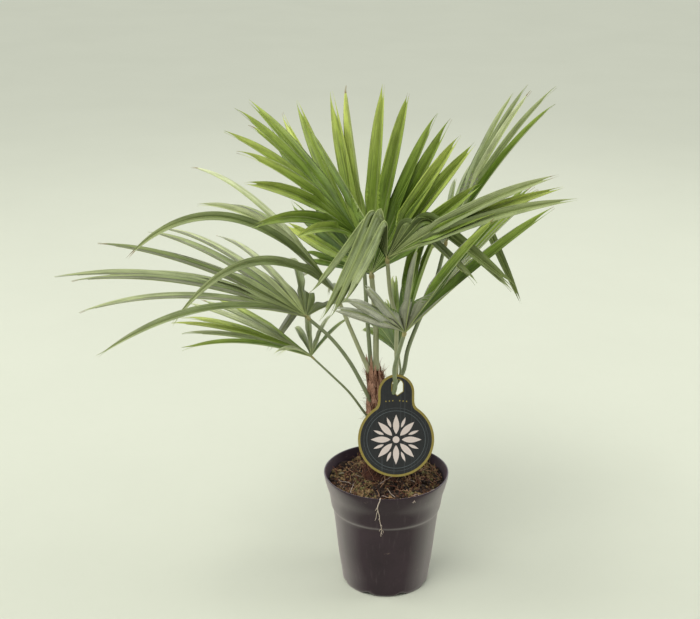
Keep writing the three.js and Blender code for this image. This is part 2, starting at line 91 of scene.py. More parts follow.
def add_lamp(name, kind, power, way, place=(0, 0, 0)):
    """A lamp that shines along way. Returns its settings."""
    data = bpy.data.lights.new(name, kind)
    data.energy = power
    lamp = bpy.data.objects.new(name, data)
    lamp.location = place
    lamp.rotation_euler = Vector(way).to_track_quat("-Z", "Y").to_euler()
    bpy.context.scene.collection.objects.link(lamp)
    return data


def light_the_studio():
    world = bpy.data.worlds.new("studio_air")
    world.use_nodes = True
    backdrop = world.node_tree.nodes["Background"]
    backdrop.inputs["Color"].default_value = AIR_COLOUR
    backdrop.inputs["Strength"].default_value = AIR_POWER
    bpy.context.scene.world = world
    bpy.context.scene.view_settings.view_transform = "Standard"
    add_lamp("key_light", "SUN", KEY_POWER, KEY_WAY).angle = math.radians(KEY_SPREAD)
    for name, place, width, height, power in SOFTBOXES:
        box = add_lamp(name, "AREA", power, Vector(LIGHT_AIM) - Vector(place), place)
        box.shape = "RECTANGLE"
        box.size = width
        box.size_y = height


# ---------------------------------------------------------------- node helpers

def hex_parts(code):
    return [int(code[i:i + 2], 16) for i in (1, 3, 5)]


def paint(code):
    """The linear colour of a hex code."""
    parts = [part / 255 for part in hex_parts(code)]
    linear = [p / 12.92 if p <= 0.04045 else ((p + 0.055) / 1.055) ** 2.4 for p in parts]
    return (*linear, 1)


def blend_hex(first, second, share):
    """The hex code between two others."""
    pairs = zip(hex_parts(first), hex_parts(second))
    return "#" + "".join(f"{round(a + (b - a) * share):02x}" for a, b in pairs)


def node(tree, kind, inputs=None, **settings):
    """Adds a node. inputs maps each socket's name or number to a value or to another node's output."""
    made = tree.nodes.new(kind)
    for name, value in settings.items():
        setattr(made, name, value)
    for name, value in (inputs or {}).items():
        if isinstance(value, bpy.types.NodeSocket):
            tree.links.new(value, made.inputs[name])
        else:
            made.inputs[name].default_value = value
    return made


def ramp(tree, value, stops):
    """A colour ramp over value. stops are (position, grey value)."""
    made = node(tree, "ShaderNodeValToRGB", {"Fac": value})
    band = made.color_ramp
    while len(band.elements) < len(stops):
        band.elements.new(1)
    for element, (position, grey) in zip(band.elements, stops):
        element.position = position
        element.color = (grey, grey, grey, 1)
    return made.outputs["Color"]


def mix(tree, share, first, second, how="MIX"):
    inputs = {0: share, 6: first, 7: second}
    return node(tree, "ShaderNodeMix", inputs, data_type="RGBA", blend_type=how).outputs[2]


def calc(tree, how, *values):
    return node(tree, "ShaderNodeMath", dict(enumerate(values)), operation=how).outputs[0]


def noise_at(tree, place, scale, detail, roughness=0.5):
    """A noise value at a place. Three numbers as the scale stretch it along each axis."""
    if isinstance(scale, tuple):
        place = node(tree, "ShaderNodeMapping", {"Vector": place, "Scale": scale}).outputs["Vector"]
        scale = 1
    inputs = {"Vector": place, "Scale": scale, "Detail": detail, "Roughness": roughness}
    return node(tree, "ShaderNodeTexNoise", inputs).outputs["Fac"]


def start_group(name, inputs, outputs):
    """A shader node group. inputs are (name, kind, value); returns its tree and its inner input."""
    tree = bpy.data.node_groups.new(name, "ShaderNodeTree")
    for socket, kind, value in inputs:
        made = tree.interface.new_socket(socket, in_out="INPUT", socket_type="NodeSocket" + kind)
        if value is not None:
            made.default_value = value
    for socket, kind in outputs:
        tree.interface.new_socket(socket, in_out="OUTPUT", socket_type="NodeSocket" + kind)
    return tree, tree.nodes.new("NodeGroupInput").outputs


def grain_group():
    """Soft patches and fine specks of a second colour, for anything grown or dusty."""
    tree, given = start_group("grain", [
        ("Vector", "Vector", None), ("Color", "Color", (0.5, 0.5, 0.5, 1)),
        ("Second", "Color", (0.2, 0.2, 0.2, 1)), ("Patch scale", "Float", 40), ("Patches", "Float", 0.5),
        ("Speck scale", "Float", 400), ("Specks", "Float", 0.3),
    ], [("Color", "Color"), ("Height", "Float")])
    patch = noise_at(tree, given["Vector"], given["Patch scale"], 4, 0.6)
    speck = noise_at(tree, given["Vector"], given["Speck scale"], 3, 0.7)
    patches = calc(tree, "MULTIPLY", ramp(tree, patch, [(0.38, 0), (0.66, 1)]), given["Patches"])
    specks = calc(tree, "MULTIPLY", ramp(tree, speck, [(0.5, 0), (0.68, 1)]), given["Specks"])
    patched = mix(tree, patches, given["Color"], given["Second"])
    colour = mix(tree, specks, patched, given["Second"])
    node(tree, "NodeGroupOutput", {"Color": colour, "Height": calc(tree, "ADD", patch, speck)})
    return tree


def blade_group():
    """Leaf skin on a blade's own map. u is a whole number for each leaflet, plus its place across
    with the rib at a half; v runs from the hub to the tip."""
    tree, given = start_group("blade_skin", [
        ("Vector", "Vector", None), ("Root", "Color", (0.1, 0.2, 0.05, 1)),
        ("Middle", "Color", (0.2, 0.3, 0.1, 1)), ("Tip", "Color", (0.3, 0.4, 0.1, 1)),
        ("Contrast", "Float", 0.5),
    ], [("Color", "Color"), ("Height", "Float")])
    place = node(tree, "ShaderNodeSeparateXYZ", {"Vector": given["Vector"]}).outputs
    # painted shade and light: darker towards the hub as painted crown shade, lighter towards the tip as
    # painted light shining through
    outward = ramp(tree, place["Y"], [(0.05, 0), (0.42, 1)])
    tipward = ramp(tree, place["Y"], [(0.5, 0), (0.98, 1)])
    skin = mix(tree, tipward, mix(tree, outward, given["Root"], given["Middle"]), given["Tip"])
    lines = noise_at(tree, given["Vector"], (46, 2.5, 1), 3, 0.65)
    clouds = noise_at(tree, given["Vector"], (4, 9, 1), 4)
    both = calc(tree, "MULTIPLY_ADD", lines, 1.45, calc(tree, "MULTIPLY", clouds, 0.55))
    light = ramp(tree, both, [(0.64, 0.5), (1, 1), (1, 1.65)])
    lined = mix(tree, given["Contrast"], skin, mix(tree, 1, skin, light, "MULTIPLY"))
    off_rib = calc(tree, "SUBTRACT", calc(tree, "FRACT", place["X"]), 0.5)
    by_rib = ramp(tree, calc(tree, "ABSOLUTE", off_rib), [(0.02, 0.45), (0.07, 0)])
    ribbed = mix(tree, by_rib, lined, paint("#b9c684"))
    spots = ramp(tree, clouds, [(0.72, 0), (0.76, 0.8)])
    spotted = mix(tree, spots, ribbed, paint("#77603a"))
    node(tree, "NodeGroupOutput", {"Color": spotted, "Height": lines})
    return tree


GRAIN = grain_group()
BLADE = blade_group()


def start_material(name, roughness, **sockets):
    """A material with its Principled shader. sockets maps names, with _ for a space, to values."""
    made = bpy.data.materials.new(name)
    made.use_nodes = True
    tree = made.node_tree
    shader = tree.nodes["Principled BSDF"]
    shader.inputs["Roughness"].default_value = roughness
    for socket, value in sockets.items():
        shader.inputs[socket.replace("_", " ")].default_value = value
    return made, tree, shader


def dress(tree, shader, colour, height, strength, distance):
    """Gives a shader its colour and its relief."""
    relief = node(tree, "ShaderNodeBump", {"Height": height, "Strength": strength, "Distance": distance})
    tree.links.new(colour, shader.inputs["Base Color"])
    tree.links.new(relief.outputs["Normal"], shader.inputs["Normal"])


def own_place(tree):
    return node(tree, "ShaderNodeTexCoord").outputs["Object"]


def grain_in(tree, colour, second, patch_scale, patches, speck_scale, specks):
    """The grain group in a material. Returns its outputs."""
    return node(tree, "ShaderNodeGroup", {
        "Vector": own_place(tree), "Color": paint(colour), "Second": paint(second),
        "Patch scale": patch_scale, "Patches": patches, "Speck scale": speck_scale, "Specks": specks,
    }, node_tree=GRAIN).outputs


# ---------------------------------------------------------------- finishes

# Leaf skins, each from its darkest to its lightest tone: root, middle and tip colours; the dark root is
# painted crown shade and the light tip painted light shining through.
SKINS = {
    "green": (("#28380a", "#476014", "#748735"), ("#5d7624", "#899b42", "#b6bf63")),
    "olive": (("#333c17", "#515f2b", "#717c46"), ("#828c54", "#a0a87b", "#b7bd91")),
    "silver": (("#5f614a", "#787a64", "#878a72"), ("#9a9b84", "#b1b19f", "#bcbdab")),
}
TONES = 5
RIB_SKIN = ("#a9b276", "#a3b070", "#b2bd72")
DRY_SKIN = ("#9a8a62", "#9a8a62", "#8a744e")

# Finishes with patches and specks: name, colour, second colour, roughness, the patches' scale and
# share, the specks' scale and share, and the relief in metres.
GRAINED = [
    ("stalk_green", "#7b8460", "#989f77", 0.45, 60, 0.5, 700, 0.15, 0.0001),
    ("stalk_pale", "#a9ab84", "#8d9265", 0.45, 60, 0.5, 700, 0.15, 0.0001),
    ("stalk_hub", "#a9a36c", "#8a6e42", 0.55, 200, 0.5, 900, 0.3, 0.0002),
    ("trunk_bark", "#5a3524", "#2e1a11", 0.9, 120, 0.8, 900, 0.6, 0.0008),
    ("fibre_dark", "#4a2c1d", "#2c1a11", 0.85, 90, 0.5, 800, 0.2, 0.0003),
    ("fibre_red", "#7d4a30", "#5a3423", 0.8, 90, 0.5, 800, 0.2, 0.0003),
    ("fibre_tan", "#b8916e", "#86603f", 0.75, 90, 0.5, 800, 0.2, 0.0003),
    ("torn_sheath", "#cda086", "#8b5d45", 0.75, 110, 0.8, 700, 0.5, 0.0005),
    ("peat", "#2a1c13", "#130c08", 0.95, 150, 0.7, 900, 0.6, 0.0012),
    ("crumb_dark", "#35261b", "#1b120c", 0.95, 200, 0.5, 900, 0.4, 0.0003),
    ("crumb_rust", "#5f3f28", "#3b281b", 0.9, 200, 0.5, 900, 0.4, 0.0003),
    ("crumb_tan", "#93784f", "#64502f", 0.9, 200, 0.5, 900, 0.4, 0.0003),
    ("moss", "#7d7645", "#55502b", 0.85, 200, 0.5, 900, 0.4, 0.0003),
    ("rootlet", "#cfc0b2", "#a08a78", 0.7, 300, 0.5, 1200, 0.4, 0.0001),
    ("floor_paint", "#c8cbb8", "#c4c7b4", 0.85, 3, 0.5, 60, 0.2, 0.0001),
]

# The tag's finishes: name, colour, roughness, how far its flecks and its upright streaks show.
PRINTED = [
    ("tag_edge", "#93812f", 0.4, 0.5, 0), ("tag_face", "#0f1113", 0.4, 0.1, 0.12),
    ("tag_petal", "#dccdc4", 0.45, 0.15, 0), ("tag_line", "#4a5355", 0.45, 0.2, 0),
]


def grained_material(name, colour, second, roughness, patch_scale, patches, speck_scale, specks, relief):
    """A material of one colour with patches and specks of a second one."""
    made, tree, shader = start_material(name, roughness)
    grain = grain_in(tree, colour, second, patch_scale, patches, speck_scale, specks)
    dress(tree, shader, grain["Color"], grain["Height"], 0.6, relief)
    return made


def blade_material(name, colours, roughness=0.42, contrast=0.85):
    """Leaf skin that goes from a root colour over a middle one to a tip colour. In the leaf skins the dark
    root is painted shade and the light tip painted light through the leaf.
    """
    made, tree, shader = start_material(name, roughness, Specular_IOR_Level=0.4)
    root, middle, tip = (paint(colour) for colour in colours)
    skin = node(tree, "ShaderNodeGroup", {
        "Vector": node(tree, "ShaderNodeUVMap", uv_map="blade").outputs["UV"],
        "Root": root, "Middle": middle, "Tip": tip, "Contrast": contrast,
    }, node_tree=BLADE).outputs
    dress(tree, shader, skin["Color"], skin["Height"], 0.35, 0.0004)
    return made


def pot_material():
    """Dark satin plastic with a bloom of dust, faint drag marks and a few pale scuffs."""
    made, tree, shader = start_material(
        "pot_plastic", 0.4, Specular_IOR_Level=0.3, Coat_IOR=2.3, Coat_Roughness=0.45,
        Sheen_Weight=0.16, Sheen_Roughness=0.5, Sheen_Tint=(1, 0.62, 0.78, 1))
    dust = grain_in(tree, "#21161c", "#34252d", 22, 0.55, 420, 0.35)
    place = own_place(tree)
    drag = ramp(tree, noise_at(tree, place, (300, 300, 14), 2), [(0.6, 0), (0.75, 0.35)])
    scuff = ramp(tree, noise_at(tree, place, (60, 60, 130), 5, 0.7), [(0.66, 0), (0.72, 0.5)])
    dragged = mix(tree, drag, dust["Color"], paint("#4e4446"))
    scuffed = mix(tree, scuff, dragged, paint("#7c6a60"))
    dress(tree, shader, scuffed, dust["Height"], 0.25, 0.0005)
    gloss = ramp(tree, dust["Height"], [(0.6, 0.3), (1, 0.46)])
    tree.links.new(gloss, shader.inputs["Roughness"])
    facing = node(tree, "ShaderNodeLayerWeight", {"Blend": 0.5}).outputs["Facing"]
    tree.links.new(ramp(tree, facing, [(0.3, 0), (0.62, 1)]), shader.inputs["Coat Weight"])
    return made


def tag_material(name, colour, roughness, flecks, streaks):
    """Printed card under a thin film, with faint upright streaks where it has any."""
    made, tree, shader = start_material(name, roughness, Coat_Weight=0.15, Coat_Roughness=0.2)
    place = own_place(tree)
    fleck = noise_at(tree, place, 350, 3)
    worn = paint(blend_hex(colour, "#9a9a94", 0.4))
    shade = mix(tree, ramp(tree, fleck, [(0.35, 0), (0.7, flecks)]), paint(colour), worn)
    rays = ramp(tree, noise_at(tree, place, (420, 4, 4), 2), [(0.56, 0), (0.7, streaks)])
    dress(tree, shader, mix(tree, rays, shade, paint("#7c8688")), fleck, 0.1, 0.0001)
    return made


def make_finishes():
    """All finishes by name. A leaf skin's name is its family and its tone's number."""
    made = {row[0]: grained_material(*row) for row in GRAINED}
    made.update({row[0]: tag_material(*row) for row in PRINTED})
    made["pot"] = pot_material()
    made["rib"] = blade_material("blade_rib", RIB_SKIN, 0.5, 0.3)
    made["dry"] = blade_material("blade_dry", DRY_SKIN, 0.75, 0.6)
    for family, (dark, light) in SKINS.items():
        for tone in range(TONES):
            share = tone / (TONES - 1)
            colours = [blend_hex(first, second, share) for first, second in zip(dark, light)]
            made[f"{family}_{tone}"] = blade_material(f"blade_{family}_{tone}", colours)
    return made


FINISHES = make_finishes()


# ---------------------------------------------------------------- mesh helpers

def seat(made, slot, *replaced):
    """Lets a finished piece ride on the plant and hides the solids that it stands for. slot is not used.
    """
    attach(made, BODY)
    if replaced:
        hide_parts(*replaced)


def link_mesh(name, mesh, finishes, smooth=True):
    for finish in finishes:
        mesh.materials.append(FINISHES[finish])
    made = bpy.data.objects.new(name, mesh)
    bpy.context.scene.collection.objects.link(made)
    if smooth:
        mesh.shade_smooth()
    return made


def from_bmesh(name, bm, finishes, smooth=True):
    mesh = bpy.data.meshes.new(name)
    bm.to_mesh(mesh)
    bm.free()
    return link_mesh(name, mesh, finishes, smooth)


def baked(made):
    """An object's mesh with its modifiers applied, or a flat curve's filled mesh."""
    graph = bpy.context.evaluated_depsgraph_get()
    return bpy.data.meshes.new_from_object(made.evaluated_get(graph))


def spin_profile(profile, steps):
    """A closed body turned about the Z axis from a profile in millimetres that starts and ends on it."""
    bm = bmesh.new()
    line = [bm.verts.new((radius * MM, 0, height * MM)) for radius, height in profile]
    edges = [bm.edges.new(pair) for pair in zip(line, line[1:])]
    bmesh.ops.spin(bm, geom=line + edges, cent=(0, 0, 0), axis=(0, 0, 1), angle=FULL_TURN,
                   steps=steps, use_merge=True, use_duplicate=False)
    bmesh.ops.remove_doubles(bm, verts=bm.verts, dist=0.00001)
    bmesh.ops.recalc_face_normals(bm, faces=bm.faces)
    return bm


def unit(vectors):
    return vectors / np.maximum(np.linalg.norm(vectors, axis=-1, keepdims=True), 1e-9)


def tube_rings(line, radii, sides):
    """Round rings along a line of points."""
    line = np.asarray(line, float)
    along = unit(np.gradient(line, axis=0))
    side = np.cross(along[0], (0.31, 0.95, 0.02))
    angles = FULL_TURN * np.arange(sides) / sides
    rings = []
    for point, ahead, radius in zip(line, along, radii):
        side = unit(side - ahead * (side @ ahead))
        up = np.cross(ahead, side)
        rings.append(point + radius * (np.outer(np.cos(angles), side) + np.outer(np.sin(angles), up)))
    return np.array(rings)


class Bundle:
    """Many small closed bodies, in millimetres, that are joined to one mesh."""

    def __init__(self):
        self.points = []
        self.maps = []
        self.faces = []
        self.finishes = []
        self.size = 0

    def add(self, points, faces, finishes, maps=None):
        """points are an (n, 3) array, faces rows of 4 corners with -1 for a missing fourth."""
        self.points.append(points)
        self.maps.append(np.zeros((len(points), 2)) if maps is None else maps)
        self.faces.append(np.where(faces < 0, -1, faces + self.size))
        self.finishes += list(finishes)
        self.size += len(points)

    def add_rings(self, rings, finishes, maps=None):
        """A closed body through rings of points, an (n, m, 3) array, each ring anticlockwise about
        the way that the rings go. finishes is one name, or a name for each strip of each step."""
        steps, count = len(rings), rings.shape[1]
        a = np.arange((steps - 1) * count).reshape(steps - 1, count)
        b = a - np.arange(count) + (np.arange(count) + 1) % count
        sides = np.stack([a, b, b + count, a + count], -1).reshape(-1, 4)
        fan = np.array([[0, k + 1, k + 2, -1] for k in range(count - 2)])
        start = fan[:, [0, 2, 1, 3]]
        end = np.where(fan < 0, -1, fan + (steps - 1) * count)
        if isinstance(finishes, str):
            names = [finishes] * (len(sides) + 2 * len(fan))
        else:
            names = [name for row in finishes for name in row]
            names += [finishes[0][0]] * len(fan) + [finishes[-1][0]] * len(fan)
        flat = None if maps is None else maps.reshape(-1, 2)
        self.add(rings.reshape(-1, 3), np.concatenate([sides, start, end]), names, flat)

    def add_strand(self, line, thick, thin, sides, finish):
        """A thread along a line of points, from one radius to another."""
        self.add_rings(tube_rings(line, np.linspace(thick, thin, len(line)), sides), finish)

    def piece(self, name, smooth=True, map_name=None):
        used = sorted(set(self.finishes))
        number = {finish: k for k, finish in enumerate(used)}
        points = np.concatenate(self.points) * MM
        faces = np.concatenate(self.faces)
        loops = faces[faces >= 0]
        corners = np.where(faces[:, 3] < 0, 3, 4)
        starts = np.concatenate([[0], np.cumsum(corners)[:-1]])
        finishes = np.array([number[finish] for finish in self.finishes])
        mesh = bpy.data.meshes.new(name)
        mesh.vertices.add(len(points))
        mesh.vertices.foreach_set("co", points.astype(np.float32).ravel())
        mesh.loops.add(len(loops))
        mesh.loops.foreach_set("vertex_index", loops.astype(np.int32))
        mesh.polygons.add(len(faces))
        mesh.polygons.foreach_set("loop_start", starts.astype(np.int32))
        mesh.polygons.foreach_set("material_index", finishes.astype(np.int32))
        if map_name:
            layer = mesh.uv_layers.new(name=map_name)
            layer.data.foreach_set("uv", np.concatenate(self.maps)[loops].astype(np.float32).ravel())
        mesh.update(calc_edges=True)
        mesh.validate()
        return link_mesh(name, mesh, used, smooth)


def sway(rng, reach=1):
    return rng.uniform(-reach, reach)


def curl(rng, start, way, length, wander, steps=6, sag=0.0):
    """A line of points that wanders off from start, in millimetres."""
    points = [np.asarray(start, float)]
    way = unit(np.asarray(way, float))
    for _ in range(steps):
        way = unit(way + wander * np.array([sway(rng) for _ in range(3)]) - (0, 0, sag))
        points.append(points[-1] + way * length / steps)
    return np.array(points)


# ---------------------------------------------------------------- curves

def beyond_ends(points):
    """The points, with one more beyond each end."""
    return np.concatenate([[2 * points[0] - points[1]], points, [2 * points[-1] - points[-2]]])


def smooth_line(points, parts):
    """A smooth line through the points, with parts pieces between each two."""
    ends = beyond_ends(points)
    t = (np.arange(parts) / parts)[:, None]
    made = []
    for p0, p1, p2, p3 in zip(ends, ends[1:], ends[2:], ends[3:]):
        made.append(0.5 * (2 * p1 + (p2 - p0) * t + (2 * p0 - 5 * p1 + 4 * p2 - p3) * t ** 2
                           + (3 * p1 - p0 - 3 * p2 + p3) * t ** 3))
    return np.concatenate(made + [points[-1:]])


class SoftCurve:
    """A centripetal curve through points, read by shares of its length."""

    DIVISIONS = 200

    def __init__(self, points):
        points = np.array(points, float)
        self.points = beyond_ends(points)
        self.spans = len(points) - 1
        line = np.array([self.at(k / self.DIVISIONS) for k in range(self.DIVISIONS + 1)])
        self.reached = np.concatenate([[0], np.cumsum(np.linalg.norm(np.diff(line, axis=0), axis=1))])
        self.length = self.reached[-1]

    def at(self, t):
        span = min(int(t * self.spans), self.spans - 1)
        w = t * self.spans - span
        p0, p1, p2, p3 = self.points[span:span + 4]
        d0, d1, d2 = (np.linalg.norm(b - a) ** 0.5 for a, b in ((p0, p1), (p1, p2), (p2, p3)))
        m1 = ((p1 - p0) / d0 - (p2 - p0) / (d0 + d1) + (p2 - p1) / d1) * d1
        m2 = ((p2 - p1) / d1 - (p3 - p1) / (d1 + d2) + (p3 - p2) / d2) * d1
        return (p1 + m1 * w + (-3 * p1 + 3 * p2 - 2 * m1 - m2) * w ** 2
                + (2 * p1 - 2 * p2 + m1 + m2) * w ** 3)

    def along(self, share):
        steps = np.arange(self.DIVISIONS + 1) / self.DIVISIONS
        return self.at(np.interp(share * self.length, self.reached, steps))

    def end_way(self):
        return unit(self.at(1) - self.at(0.9999))


def read_at(places, known, rows):
    """Rows of x, y, z that are known at some places along a line, read at others."""
    return np.stack([np.interp(places, known, column) for column in rows.T], -1)


# ---------------------------------------------------------------- pot

POT_STEPS = 144
# The pot's outside, foot to lip, as radius and height, then its lip and inside down to the floor.
POT_OUTSIDE = [
    (50.5, 0), (51.3, 0.5), (52.2, 2), (52.6, 4.4), (53.0, 7), (53.6, 12), (55.1, 22), (56.9, 34),
    (58.8, 50), (60.5, 67), (61.5, 76), (62.5, 85), (63.5, 93), (63.9, 96.4), (64.3, 97.8),
    (65.2, 99.2), (66.0, 100.6), (66.4, 101.8), (66.8, 104), (67.4, 108), (68.1, 113), (68.9, 117.4),
    (69.8, 120.8), (71.0, 124.6), (72.1, 128.2), (73.1, 132), (74.0, 135.8), (74.6, 138.6),
    (75.0, 141.4), (75.1, 143.2),
]
POT_LIP = [(74.9, 143.8), (74.4, 144), (73.7, 143.7), (73.3, 142.8)]
POT_INSIDE = [
    (72.9, 139), (71.2, 132), (69.2, 124), (66.3, 117), (65.3, 108), (64.2, 101), (61.2, 96),
    (58.5, 67), (55, 34), (51.4, 10), (50.5, 5.8),
]
POT_FLOOR_TOP = 5.8
RIM_RADIUS, RIM_HEIGHT = 75, 144
FOOT_RISE = 3.2  # the floor's channel lies this high over the standing face
FOOT_INNER = 44.5
FOOT_BEVEL = 0.6
PAD_RADIUS = 17
DRAINS = 8
DRAIN_RADIUS = 4
DRAIN_CIRCLE = 32
NOTCHES = 8
NOTCH_RADIUS = 9
NOTCH_DROP = 4.8  # the notch circles' centres lie this far under the standing face
NOTCH_START = -70  # bearing of the first notch
DENT_SIZE = 42
DENT_DEPTH = 0.006  # as a share of the radius


def arch_height(x, y):
    """How high the nearest drain arch stands in the pot's foot at a place, in millimetres."""
    step = 360 / NOTCHES
    bearing = (math.degrees(math.atan2(y, x)) - NOTCH_START + step / 2) % step - step / 2
    off = math.radians(bearing) * POT_OUTSIDE[0][0]
    return math.sqrt(max(NOTCH_RADIUS ** 2 - off ** 2, 0)) - NOTCH_DROP


def cut_drains(pot):
    """Bores the drain holes through the pot's floor."""
    bm = bmesh.new()
    for k in range(DRAINS):
        angle = FULL_TURN * k / DRAINS
        place = Vector((math.cos(angle), math.sin(angle), 0)) * DRAIN_CIRCLE * MM
        bmesh.ops.create_cone(bm, cap_ends=True, segments=24, radius1=DRAIN_RADIUS * MM,
                              radius2=DRAIN_RADIUS * MM, depth=3 * POT_FLOOR_TOP * MM,
                              matrix=Matrix.Translation(place))
    cutter = from_bmesh("drain_cutter", bm, [])
    cut = pot.modifiers.new("drains", "BOOLEAN")
    cut.object = cutter
    cut.solver = "EXACT"
    mesh = baked(pot)
    pot.modifiers.clear()
    pot.data = mesh
    bpy.data.objects.remove(cutter)


def make_pot():
    """The pot from its foot's channel over the lip to its floor, with drain arches and soft dents."""
    profile = [(0, 0), (PAD_RADIUS - FOOT_BEVEL, 0), (PAD_RADIUS, FOOT_BEVEL), (PAD_RADIUS + 1, FOOT_RISE),
               (FOOT_INNER - 1, FOOT_RISE), (FOOT_INNER - 0.3, 1), (FOOT_INNER, 0)]
    profile += POT_OUTSIDE + POT_LIP + POT_INSIDE + [(radius, POT_FLOOR_TOP) for radius in (40, 20, 0)]
    bm = spin_profile(profile, POT_STEPS)
    for vert in bm.verts:
        x, y, z = (value / MM for value in vert.co)
        if math.hypot(x, y) > FOOT_INNER - 1.5 and z < 5:
            vert.co.z = max(z, arch_height(x, y)) * MM
            continue
        dent = noise.noise(Vector((x, y, z * 0.6)) / DENT_SIZE)
        vert.co.xy *= 1 + DENT_DEPTH * dent * min(1, z / 40)
    pot = from_bmesh("nursery_pot", bm, ["pot"])
    cut_drains(pot)
    pot.data.shade_smooth()
    seat(pot, "pot", "pot")


# ---------------------------------------------------------------- soil

SOIL_RADIUS = 69.6
SOIL_SIDE = 124  # the ground skin's lower edge
SOIL_EDGE = 132.4
SOIL_FOOT = 48  # radius of the peat's underside
SOIL_CLEAR = 0.5  # how far the peat stays off the pot's wall
SOIL_RINGS = 44
TRUNK_CLEAR = 17  # litter stays this far from the trunk's middle
MOSS_PATCH = 25  # size of the lighter, mossy patches
MOSS_FROM = 0.14  # the noise above which the soil is mossy
CRUMBS, FLAKES, BITS, ROOTLETS, MOSS_TUFTS = 1700, 620, 760, 26, 330
CRUMB_SIZE = (0.5, 3.6)
FLAKE_LENGTH, FLAKE_WIDTH, FLAKE_THICKNESS = (1.6, 5.4), (0.7, 2.2), (0.25, 0.6)
BIT_LENGTH, BIT_SIZE = (5, 24), (0.2, 0.7)
ROOTLET_LENGTH = (9, 26)
MOSS_LENGTH = (2, 5)
MOSS_BLADES = 7
# How often each finish comes up on bare soil, on mossy soil and among the fibres.
BARE_CRUMBS = ["crumb_dark"] * 7 + ["crumb_rust"] * 3 + ["crumb_tan"]
MOSSY_CRUMBS = ["crumb_tan"] * 3 + ["crumb_rust"] * 2 + ["crumb_dark"] * 2 + ["moss"]
BIT_FINISHES = ["fibre_red"] * 4 + ["fibre_tan"] * 4 + ["fibre_dark"] * 2 + ["crumb_tan"] * 3


def soil_height(x, y):
    """The height of the lumpy soil surface at a place, in millimetres."""
    radius = math.hypot(x, y)
    hill = 4.2 * max(0, 1 - max(0, radius - 26) / 26)
    bank = 1.2 * max(0, (radius - 58) / 12)
    lumps = 2.6 * noise.noise(Vector((x, y, 3)) / 17) + 1.7 * noise.noise(Vector((x, y, 9)) / 6)
    return SOIL_EDGE - 0.6 + hill + bank + lumps


def make_soil_bed():
    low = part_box("soil")[0].z / MM
    side = [place for place in reversed(POT_INSIDE) if place[1] < SOIL_SIDE + 1]
    wall = [(radius - SOIL_CLEAR, height) for radius, height in side]
    top = [(SOIL_RADIUS * k / SOIL_RINGS, SOIL_EDGE) for k in range(SOIL_RINGS, -1, -1)]
    bm = spin_profile([(0, low), (SOIL_FOOT, low)] + wall[1:] + top, POT_STEPS)
    for vert in bm.verts:
        x, y, z = (value / MM for value in vert.co)
        if z > SOIL_EDGE - 1:
            vert.co.z = soil_height(x, y) * MM
    seat(from_bmesh("soil_bed", bm, ["peat"]), "soil", "soil")


def scatter_place(rng, reach=SOIL_RADIUS - 2, clear=TRUNK_CLEAR):
    """A chance place on the soil, outside the trunk's foot."""
    while True:
        x, y = sway(rng, reach), sway(rng, reach)
        from_trunk = math.hypot(x - TRUNK_FOOT[0], y - TRUNK_FOOT[1])
        if math.hypot(x, y) < reach and from_trunk > clear:
            return x, y


def mossy(x, y):
    """Whether a place on the soil lies in one of its mossy patches."""
    return noise.noise(Vector((x, y, 20)) / MOSS_PATCH) > MOSS_FROM


def litter_shape(bm):
    """The points and faces of a small closed shape, which is used up."""
    points = np.array([vert.co for vert in bm.verts])
    faces = np.array([([vert.index for vert in face.verts] + [-1])[:4] for face in bm.faces])
    bm.free()
    return points, faces


def crumb_shape(rng):
    """A lumpy crumb of unit size."""
    bm = bmesh.new()
    bmesh.ops.create_icosphere(bm, subdivisions=1, radius=1)
    points, faces = litter_shape(bm)
    return points * [[rng.uniform(0.7, 1.3)] for _ in points], faces


def flake_shape(rng):
    """A splintered bark flake of unit size."""
    bm = bmesh.new()
    bmesh.ops.create_cube(bm, size=2)
    points, faces = litter_shape(bm)
    return points * [[rng.uniform(0.5, 1.2) for _ in range(3)] for _ in points], faces


def chance_turn(rng):
    angles = [rng.uniform(0, FULL_TURN) for _ in range(3)]
    turn = Matrix.Rotation(angles[0], 3, "X") @ Matrix.Rotation(angles[1], 3, "Y")
    return np.array(turn @ Matrix.Rotation(angles[2], 3, "Z"))


def make_soil_litter():
    rng = random.Random(41)
    litter = Bundle()
    crumbs = [crumb_shape(rng) for _ in range(8)]
    flakes = [flake_shape(rng) for _ in range(8)]
    for k in range(CRUMBS + FLAKES):
        if k < CRUMBS:
            points, faces = rng.choice(crumbs)
            size = np.array([1, rng.uniform(0.6, 1), rng.uniform(0.5, 0.9)]) * rng.uniform(*CRUMB_SIZE)
        else:
            points, faces = rng.choice(flakes)
            size = np.array([rng.uniform(*span) for span in (FLAKE_LENGTH, FLAKE_WIDTH, FLAKE_THICKNESS)])
        x, y = scatter_place(rng, SOIL_RADIUS - 1.2 * max(size))
        centre = (x, y, soil_height(x, y) + rng.uniform(0, 0.9))
        turn = chance_turn(rng)
        finish = rng.choice(MOSSY_CRUMBS if mossy(x, y) else BARE_CRUMBS)
        litter.add((points * size) @ turn.T + centre, faces, [finish] * len(faces))
    seat(litter.piece("soil_litter", smooth=False), "soil")


def inside_pot(line):
    return np.hypot(line[:, 0], line[:, 1]).max() < SOIL_RADIUS


